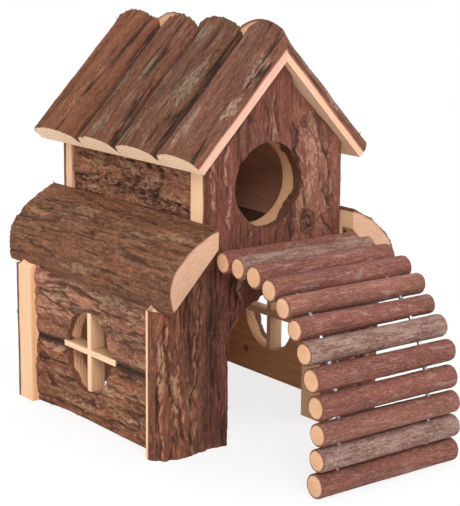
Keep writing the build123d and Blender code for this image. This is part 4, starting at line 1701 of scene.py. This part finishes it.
    def window_wall(self, side: int, word: str) -> None:
        """Build one wing's two window logs.

        Args:
            side: -1 for the left wing and 1 for the right one.
            word: The side as a word.
        """
        rail = np.array(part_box(f"{word}_window_cross_rail"))
        _, window_y, window_z = rail.sum(axis=0) / 2 / MM
        lower = {
            "knots": (Knot(76, 26, 3.4, 0.7), Knot(-6, 12, 1.6, 0.6)),
            "patches": (Patch(66, 33, 9, 2.4), Patch(10, 24, 14, 3.4), Patch(40, 8, 18, 2.4)),
            "seams": (
                Seam(((-28, 21), (10, 25), (44, 19), (64, 22)), 0.7, 1.3, lip=1.4, wave=1),
                Seam(((-10, 9), (20, 13), (60, 8)), 0.7, 1.2, lip=1.4, wave=1),
            ),
            # The valley where the two logs meet is sunk and painted darker, as painted shade.
            "valley": (0, 2.3), "inner_knots": (Knot(64.5, 11.4, 2.2, 0.9),),
        }
        upper = {
            "knots": (Knot(77, 25, 1.8, 0.6), Knot(2, 8, 1.4, 0.7)),
            "patches": (Patch(61, 26.5, 8, 6.5), Patch(84, 31, 4, 2.6), Patch(18, 31, 26, 3)),
            "seams": (
                Seam(((-26, 10), (10, 16), (50, 12), (80, 16)), 0.7, 1.3, lip=1.4, wave=1),
                Seam(((-28, 26), (0, 27), (40, 22)), 0.7, 1.2, lip=1.4, wave=1),
            ),
            # The valley where the two logs meet is sunk and painted darker, as painted shade.
            "valley": (2.3, 0),
        }
        edge, shoulder = self.window_wall_edge, self.window_wall_shoulder
        for level, looks in (("lower", lower), ("upper", upper)):
            is_upper = level == "upper"
            node = f"{word}_window_{level}_log"
            low, high = box(node)
            inner_x = (high if side < 0 else low)[X]
            reach = abs(inner_x)
            bottom = window_z if is_upper else 0
            top_outer, top_inner = window_z, window_z
            if is_upper:
                top_outer, top_inner = self.under_wing_roof(reach + edge), self.under_wing_roof(reach)
            outer = shoulder.curve(bottom, top_outer, edge)
            outer[:, 0] = np.minimum(outer[:, 0], self.under_wing_roof(reach + outer[:, 1]))
            stance = Stance((inner_x, 0, 0), (0, 1, 0), (0, 0, 1), (side, 0, 0))
            seed = 80 + 5 * side + (2 if is_upper else 0)
            slab = BarkSlab(
                node=node, stance=stance, outer=outer, inner=(bottom, top_inner),
                limits=self.level_limits(low[Y], high[Y]), length=high[Y] - low[Y],
                relief=Relief(0.8, 0.8, 0.8, 0.7, grain_reach=34, fissure_spacing=7, seed=seed), pith=16,
                swell=(3.2, 54, high[Y]), rim_relief=(0.5, 0.5), inner_step=1.2, **looks,
            )
            deep = edge + shoulder.crown + 4
            hole = round_outline(window_y, window_z, self.window_diameter, 0.012, 7)
            half_rail, half = self.window_diameter / 2 + self.rail_tail, self.strip_width / 2
            corners = ((-half_rail, -half), (half_rail, -half), (half_rail, half), (-half_rail, half))
            slot = np.array([(window_y + along, window_z + across) for along, across in corners])
            depth = abs(rail[1 if side < 0 else 0][X] / MM) - reach
            for outline, start, rows in ((hole, BEHIND_FACE, 18), (slot, depth, 1)):
                cutter = outline_cutter(outline, stance, start, deep, rows)
                slab.openings.append((cutter, self.cut["bored_window"]))
            self.put(slab, f"window_{level}")

    def wing_roof(self, side: int, word: str) -> None:
        """Build one wing's leaning roof slab.

        Args:
            side: -1 for the left wing and 1 for the right one.
            word: The side as a word.
        """
        node = f"{word}_wing_roof_slab"
        low, high = box(node)
        cos, sin = math.cos(math.radians(self.wing_roof_angle)), math.sin(math.radians(self.wing_roof_angle))

        def in_log(x: float, z: float) -> tuple[float, float]:
            """Return a point beside the house as across and out of the leaning log."""
            inward, up = self.low_x - x, z - self.wing_roof_low
            return inward * cos + up * sin, up * cos - inward * sin

        shoulder_inset, shoulder_rise = self.wing_roof_shoulder
        side_swell, top_swell = self.wing_roof_swell
        cut_low = self.wing_roof_low + (self.low_x - self.half_tower) * self.wing_slope
        cut_high = cut_low + self.wing_roof_cut
        shoulder_x, shoulder_z = self.wing_outer - shoulder_inset, self.wing_roof_low + shoulder_rise
        outer = arcs(
            (0.0, 0.0),
            in_log(self.low_x + side_swell, (self.wing_roof_low + shoulder_z) / 2),
            in_log(shoulder_x, shoulder_z),
            in_log((shoulder_x + self.half_tower) / 2, (shoulder_z + cut_high) / 2 + top_swell),
            in_log(self.half_tower, cut_high),
        )
        origin = (side * self.low_x, 0, self.wing_roof_low)
        slab = BarkSlab(
            node=node, stance=Stance(origin, (0, 1, 0), (-side * cos, 0, sin), (side * sin, 0, cos)),
            outer=outer, inner=(0.0, in_log(self.half_tower, cut_low)[0]),
            limits=self.level_limits(low[Y], high[Y]), length=high[Y] - low[Y],
            relief=Relief(0.7, 0.35, 0.6, 0.6, grain_reach=52, fissure_spacing=5, seed=95 + side), pith=14,
            knots=(Knot(14, 26, 1.2, 0.5), Knot(88, 16, 1.4, 0.4)),
            patches=(
                Patch(59, 38, 15, 4), Patch(7, 33, 12, 3), Patch(-16, 38, 12, 3.4), Patch(44, 8, 15, 3),
                Patch(90, 30, 9, 3),
            ),
            rim_relief=(0, 0.3), rim_shade=0.2, sharp_start=True,
        )
        self.put(slab, "wing_roof", head="wing_end", tail="wing_end")


@dataclass
class WindowCross:
    """The two planed strips of one window, half-lapped where they meet."""

    word: str
    face: Material
    # side is the strip's wood painted darker, as painted shade on the faces inside the window's bore
    side: Material
    edge_round: float = 0.35

    def build(self) -> None:
        """Round the edges of both strips' shapes and dress them."""
        for part, grain in (("upright", (0, 0, 1)), ("rail", (0, 1, 0))):
            node = f"{self.word}_window_cross_{part}"
            mesh = bpy.data.objects[node].data.copy()
            mesh.materials.clear()
            mesh.materials.append(self.face)
            mesh.materials.append(self.side)
            with opened(mesh) as shape:
                bmesh.ops.remove_doubles(shape, verts=shape.verts, dist=1e-6)
                flat = math.radians(3)
                bmesh.ops.dissolve_limit(shape, angle_limit=flat, verts=shape.verts, edges=shape.edges)
                bmesh.ops.recalc_face_normals(shape, faces=shape.faces)
                sharp = [edge for edge in shape.edges if edge.calc_face_angle(0) > math.radians(50)]
                offset = self.edge_round * MM
                bmesh.ops.bevel(shape, geom=sharp, offset=offset, segments=3, profile=0.6, affect="EDGES")
                for face in shape.faces:
                    # Faces that don't face out sideways take the darker side finish: painted shade.
                    face.material_index = 0 if abs(face.normal.x) > 0.6 else 1
                    face.smooth = True
            mesh.set_sharp_from_angle(angle=math.radians(35))
            piece = new_piece(f"{node}_strip", mesh)
            self.measure(mesh, grain)
            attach(piece, "house")
            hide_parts(node)
            log.info("%s: %d faces", piece.name, len(mesh.polygons))

    def measure(self, mesh: Mesh, grain: tuple[int, int, int]) -> None:
        """Store each point's place along and across the strip's grain, a little off the pith."""
        places = places_of(mesh)
        places = places - (places.min(axis=0) + places.max(axis=0)) / 2
        thick = np.array([1, 0, 0])
        in_strip = (places @ np.array(grain), places @ thick + 9.0, places @ np.cross(grain, thick) + 6.0)
        set_attribute(mesh, Attribute.PLACE, np.column_stack(in_strip), "FLOAT_VECTOR")


# The ladder


@dataclass(frozen=True)
class StickLook:
    """What sets one ladder stick apart from the others."""

    bark: str = "stick"
    taper: float = 0.0
    crook: float = 0.0
    relief: float = 0.12
    plump: float = 0.15


@dataclass
class Ladder:
    """The twelve sticks and the two wires through them."""

    trees: ShapeTrees
    bark: dict[str, Material]
    end_grain: Material
    wire: Material
    wire_diameter: float = 2.0
    wire_inset: float = 12.0
    wire_spacing: float = 53.0
    wall_depth: float = 9.0
    held_reach: float = 1.2
    stick_relief: Relief = Relief(
        ridge=0.08, flake=0.08, fissure=0.05, fibre=0.12, grain_reach=12.0, fissure_spacing=2.4
    )
    looks: tuple[StickLook, ...] = (
        StickLook(),
        StickLook("stick_grey"),
        StickLook(),
        StickLook(),
        StickLook("stick_pale", 0.04, -0.1, relief=0.45),
        StickLook("stick", 0.13, 0.15, relief=0.4),
        StickLook("stick_grey", relief=0.2),
        StickLook("stick", 0.09, -0.15, relief=0.25),
        StickLook(),
        StickLook("stick_pale", 0.03, 0.1, relief=0.35, plump=0.0),
        StickLook("stick_grey", plump=0.0),
        StickLook("stick", relief=0.3, plump=0.0),
    )

    def middles(self) -> list[tuple[Vector, float, float]]:
        """Return each stick's middle, length and diameter, in millimetres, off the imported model."""
        found = []
        for number in range(1, len(self.looks) + 1):
            low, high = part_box(f"ladder_stick_{number:02d}")
            found.append(((low + high) / 2 / MM, (high.x - low.x) / MM, (high.z - low.z) / MM))
        return found

    def sticks(self) -> None:
        """Build the sticks, each riding on its own body."""
        for number, ((middle, length, diameter), look) in enumerate(zip(self.middles(), self.looks), start=1):
            node = f"ladder_stick_{number:02d}"
            piece = new_piece(f"{node}_bark", bpy.data.meshes.new(node))
            values = asdict(self.stick_relief) | {
                "lump": look.relief, "seed": number * 7, "length": length,
                "radius": diameter / 2 + look.plump, "taper": look.taper, "crook": look.crook,
                "rim_round": 0.45, "spin": 0.9 * number, "middle": tuple(middle),
                "bark": self.bark[look.bark], "end_grain": self.end_grain,
            }
            shape_with_tree(piece, self.trees.stick, **values)
            sharpen_between_materials(piece.data)
            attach(piece, f"stick_{number:02d}")
            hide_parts(node)
            log.info("%s: %d faces", piece.name, len(piece.data.polygons))

    def wires(self, joints: Sequence[dict]) -> None:
        """Build both wires as one bent span at each joint, between the middles of its two sticks.

        Args:
            joints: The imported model's joints.
        """
        sticks = self.middles()
        left_x = sticks[0][0].x - sticks[0][1] / 2 + self.wire_inset
        for number, joint in enumerate(joints, start=1):
            hinge = Vector(joint["pos_m"]) / MM
            after = sticks[number - 1][0]
            before = sticks[number - 2][0] if number > 1 else hinge + Vector((0, self.wall_depth, 0))
            for word, x in (("left", left_x), ("right", left_x + self.wire_spacing)):
                start, bend, end = (Vector((x, point.y, point.z)) for point in (before, hinge, after))
                piece = new_piece(f"bridge_wire_{word}_bend_{number:02d}", bpy.data.meshes.new("span"))
                route = {"start": tuple(start), "bend": tuple(bend), "end": tuple(end)}
                shape_with_tree(piece, self.trees.wire, diameter=self.wire_diameter, wire=self.wire, **route)
                piece.data.polygons.foreach_set("use_smooth", [True] * len(piece.data.polygons))
                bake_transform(piece)
                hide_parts(f"bridge_wire_{word}")


# The studio


@dataclass(frozen=True)
class Studio:
    """The floor, the lamps and the camera at the photograph's angle."""

    azimuth: float = -37.22
    elevation: float = 12.40
    roll: float = 0.53
    distance: float = 0.7231
    target_height: float = 0.08265
    front_to_target: float = 0.0399
    focal_pixels: float = 1481.5
    principal: tuple[float, float] = (222.0, 248.7)
    image: tuple[float, float] = (460.0, 506.0)
    sensor: float = 36.0
    half_floor: float = 6.0

    def camera(self, front_edge_y: float) -> None:
        """Put the camera where the photograph was taken from.

        Args:
            front_edge_y: Where the tower's front wall meets its sawn edge, in metres.
        """
        data = bpy.data.cameras.new("photo_camera")
        camera = new_piece("photo_camera", data)
        azimuth, elevation, roll = (math.radians(v) for v in (self.azimuth, self.elevation, self.roll))
        level = math.cos(elevation)
        back = Vector((math.sin(azimuth) * level, -math.cos(azimuth) * level, math.sin(elevation)))
        target = Vector((0.0, front_edge_y + self.front_to_target, self.target_height))
        right = Vector((math.cos(azimuth), math.sin(azimuth), 0.0))
        up = back.cross(right)
        rolled_right = math.cos(roll) * right + math.sin(roll) * up
        rolled_up = math.cos(roll) * up - math.sin(roll) * right
        turn = Matrix((rolled_right, rolled_up, back)).transposed().to_4x4()
        camera.matrix_world = Matrix.Translation(target + back * self.distance) @ turn
        width, height = self.image
        data.sensor_fit = "VERTICAL"
        data.sensor_height = self.sensor
        data.lens = self.focal_pixels / height * self.sensor
        data.shift_x = (width / 2 - self.principal[0]) / height
        data.shift_y = (self.principal[1] - height / 2) / height
        data.clip_start = 0.01
        bpy.context.scene.camera = camera

    def lamp(self, name: str, place: Sequence[float], size: float, power: float) -> None:
        """Put up one square soft lamp, turned to the house."""
        data = bpy.data.lights.new(name, "AREA")
        data.shape = "SQUARE"
        data.size = size
        data.energy = power
        lamp = new_piece(name, data)
        lamp.location = place
        lamp.rotation_euler = (Vector((0, 0, 0.09)) - Vector(place)).to_track_quat("-Z", "Y").to_euler()

    def lights(self) -> None:
        """Light the house softly from the front, with a bright room around it."""
        self.lamp("key", (-0.75, -1.25, 1.15), 0.9, 20)
        self.lamp("fill", (1.3, -1.0, 0.7), 1.2, 9)
        self.lamp("top", (0.1, 0.4, 1.6), 1.2, 9)
        world = bpy.data.worlds.new("studio")
        bpy.context.scene.world = world
        world.use_nodes = True
        world.node_tree.nodes.clear()
        graph = Graph(world.node_tree)
        room = graph.out("ShaderNodeBackground", {"Color": (1, 1, 1, 1), "Strength": 0.62})
        white = graph.out("ShaderNodeBackground", {"Color": (1, 1, 1, 1), "Strength": 1})
        mix = graph.out("ShaderNodeMixShader", {0: self.seen_directly(graph), 1: room, 2: white})
        graph.add("ShaderNodeOutputWorld", {"Surface": mix})

    def seen_directly(self, graph: Graph) -> Value:
        """Return 1 where the camera, a reflection or glass sees a surface, and 0 where it only lights."""
        outputs = graph.add("ShaderNodeLightPath").outputs
        names = ("Is Camera Ray", "Is Glossy Ray", "Is Transmission Ray")
        camera, glossy, through = (Value(graph, outputs[name]) for name in names)
        return camera.at_least(glossy).at_least(through)

    def floor(self) -> None:
        """Lay a pale floor that fades to white away from the house."""
        mesh = bpy.data.meshes.new("floor")
        half = self.half_floor
        corners = [(-half, -half, 0), (half, -half, 0), (half, half, 0), (-half, half, 0)]
        mesh.from_pydata(corners, [], [(0, 1, 2, 3)])
        floor = new_piece("studio_floor", mesh)
        graph = Dressing("pale_floor")
        away = graph.reckon("LENGTH", graph.out("ShaderNodeTexCoord", pick="Object"))
        surface = graph.out("ShaderNodeBsdfDiffuse", {"Color": (0.93, 0.93, 0.93, 1)})
        white = graph.out("ShaderNodeEmission", {"Color": (1, 1, 1, 1), "Strength": 1})
        share = away.ramp(0.02, 0.34, 0.79, 1) * self.seen_directly(graph)
        mix = graph.out("ShaderNodeMixShader", {0: share, 1: surface, 2: white})
        graph.add("ShaderNodeOutputMaterial", {"Surface": mix})
        mesh.materials.append(graph.material)
        floor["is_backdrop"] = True

    def build(self, front_edge_y: float) -> None:
        """Set up the whole studio."""
        self.camera(front_edge_y)
        self.lights()
        self.floor()
        bpy.context.scene.view_settings.view_transform = "Standard"


# Colours


def bark_materials(finishes: Finishes) -> dict[str, Material]:
    """Return the barks, by the slab or stick that each is for."""
    roof = {"contrast": 0.38, "streak_length": 90, "mottle_size": 1.7}
    window = {"contrast": 0.42, "streak_width": 2.4}
    stick = {
        "light": (178, 136, 122), "deep": (78, 46, 36), "streak_length": 7, "streak_width": 1.1,
        "mottle_size": 1.3, "bump": 0.2, "contrast": 0.42,
    }
    grey_stick = stick | {"light": (190, 161, 145), "contrast": 0.5, "grey_share": 0.9}
    barks = (
        BarkFinish(
            "front_left", 3, (114, 63, 49), (101, 56, 43), (120, 86, 71), (158, 106, 87),
            patch_color=(176, 130, 106), grey_share=0.25, streak_length=44, streak_width=2, contrast=0.36,
            mottle_size=1.9,
        ),
        BarkFinish(
            "front_right", 17, (132, 80, 64), (114, 64, 49), (142, 108, 92), (176, 126, 106),
            patch_color=(172, 128, 109), grey_share=0.45, contrast=0.3, streak_length=20, streak_width=2.4,
            mottle_size=1.9,
        ),
        BarkFinish("back", 29),
        BarkFinish(
            "side", 41, (142, 86, 61), (114, 69, 50), (158, 122, 96), (202, 152, 116),
            patch_color=(184, 140, 110), streak_length=20, streak_width=2,
        ),
        BarkFinish(
            "roof_front", 53, (122, 74, 56), (106, 66, 50), (132, 104, 84), (168, 120, 94),
            patch_color=(156, 134, 112), grey_share=0.3, **roof,
        ),
        BarkFinish(
            "roof_second", 67, (108, 68, 48), (94, 60, 42), (124, 98, 76), (158, 114, 86),
            patch_color=(140, 122, 102), grey_share=0.5, **roof,
        ),
        BarkFinish(
            "roof_third", 71, (118, 70, 50), (104, 64, 46), (126, 102, 80), (160, 114, 86),
            patch_color=(126, 110, 90), **roof,
        ),
        BarkFinish(
            "roof_rear", 83, (127, 76, 51), (110, 65, 44), (126, 98, 74), (164, 112, 80),
            patch_color=(146, 98, 72), grey_share=0.2, **roof,
        ),
        BarkFinish(
            "wing_front", 97, (122, 70, 50), (102, 58, 42), (126, 96, 76), (168, 114, 88),
            patch_color=(182, 134, 106), grey_share=0.3, streak_length=36, contrast=0.48,
        ),
        BarkFinish(
            "wing_roof", 103, (126, 78, 54), (106, 66, 46), (138, 108, 82), (166, 120, 88),
            patch_color=(150, 120, 88), grey_share=0.3, streak_length=50, streak_width=1.2,
        ),
        BarkFinish(
            "window_lower", 113, (148, 90, 64), (126, 76, 53), (156, 122, 94), (196, 144, 110),
            patch_color=(196, 152, 120), **window,
        ),
        # The upper log's colours are lighter than the lower log's: painted light against the wing roof's
        # shade.
        BarkFinish(
            "window_upper", 127, (172, 112, 86), (150, 96, 74), (178, 144, 116), (216, 168, 136),
            (66, 38, 26), patch_color=(160, 138, 110), **window,
        ),
        BarkFinish("stick", 131, (122, 70, 58), (106, 62, 52), (140, 108, 98), **stick),
        BarkFinish("stick_pale", 139, (138, 86, 72), (120, 74, 62), (152, 118, 106), **stick),
        BarkFinish("stick_grey", 151, (124, 88, 76), (116, 84, 74), (142, 116, 106), **grey_stick),
    )
    return {finish.name: finish.material(finishes) for finish in barks}


def cut_materials(finishes: Finishes) -> dict[str, Material]:
    """Return the finishes of cut wood, by how and where it was cut."""
    fresh = {"pale": (246, 204, 164), "dark": (226, 172, 130), "ring_strength": 0.16}
    rake = {"ring_strength": 0.14, "bark_thickness": 1}
    cuts = (
        CutWoodFinish("sawn", bark_thickness=1.6, **fresh),
        CutWoodFinish("sawn_thin", bark_thickness=0.45, **fresh),
        CutWoodFinish("jamb", (246, 204, 166), (214, 166, 126), bark_thickness=1.2),
        CutWoodFinish(
            "bored_thick", (216, 168, 130), (176, 124, 88), (82, 50, 36), (112, 74, 54), bark_thickness=5.4
        ),
        CutWoodFinish(
            "bored_window", (226, 178, 138), (160, 110, 76), (98, 58, 42), (124, 76, 56), 1.5, 0.6, 4.2
        ),
        CutWoodFinish("inner", (240, 188, 142), (204, 148, 108), has_knots=True),
        CutWoodFinish("inner_dark", (240, 184, 152), (198, 144, 118)),
        CutWoodFinish("roof_inner", (236, 200, 170), (198, 158, 128)),
        CutWoodFinish("ridge_pale", (226, 178, 136), (196, 144, 104), bark_thickness=0.7),
        CutWoodFinish("ridge", (190, 142, 104), (120, 76, 52), bark_thickness=4.6),
        CutWoodFinish("rake", (213, 168, 147), (194, 146, 126), **rake),
        CutWoodFinish("rake_warm", (226, 176, 146), (206, 150, 118), **rake),
        CutWoodFinish("eave", (250, 218, 184), (216, 172, 136), ring_strength=0.4, bark_thickness=1.2),
        CutWoodFinish(
            "wing_end", (203, 161, 133), (174, 132, 106), ring_width=2.4, ring_strength=0.2,
            bark_thickness=1.6,
        ),
        CutWoodFinish("stick_end", (232, 184, 146), (196, 144, 106), ring_width=0.9, bark_thickness=0.8),
        CutWoodFinish("strip", (252, 214, 180), (230, 184, 144)),
        # A darker copy of the strip's wood, as painted shade for the cross's sides inside the bore.
        CutWoodFinish("strip_side", (216, 174, 136), (182, 138, 102)),
    )
    return {finish.name: finish.material(finishes) for finish in cuts}


def dress_kept_nodes(nodes: dict[str, Object], finishes: Finishes, wire: Material) -> None:
    """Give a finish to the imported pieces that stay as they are: the floor board and the brads.

    Args:
        nodes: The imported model's objects, by node.
        finishes: The shared node groups.
        wire: The wires' material, which the brads share.
    """
    # The board's dark browns are painted shade: the inside of the house gets little light.
    board = BoardFinish("floor_board_wood", (92, 64, 46), (66, 45, 32)).material(finishes)
    for name, material in (("upper_floor", board), ("brads", wire)):
        mesh = nodes[name].data
        mesh.materials.clear()
        mesh.materials.append(material)
        log.info("%s keeps its shape", name)


def main() -> None:
    """Build every piece in order."""
    logging.basicConfig(level=logging.INFO, format="%(name)s: %(message)s")
    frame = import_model()
    finishes = Finishes()
    trees = ShapeTrees()
    bark = bark_materials(finishes)
    cut = cut_materials(finishes)
    wire = WireFinish("galvanised_wire").material()
    house = House(trees, bark, cut)
    Studio().build((house.crown_y + house.front_shoulder.crown) * MM)
    house.tower_front()
    house.tower_back()
    house.tower_sides()
    house.roof_slats()
    house.wings()
    for _, word in SIDES:
        WindowCross(word, cut["strip"], cut["strip_side"]).build()
    ladder = Ladder(trees, bark, cut["stick_end"], wire)
    ladder.sticks()
    ladder.wires(frame["joints"])
    dress_kept_nodes(frame["nodes"], finishes, wire)


if __name__ == "__main__":
    main()
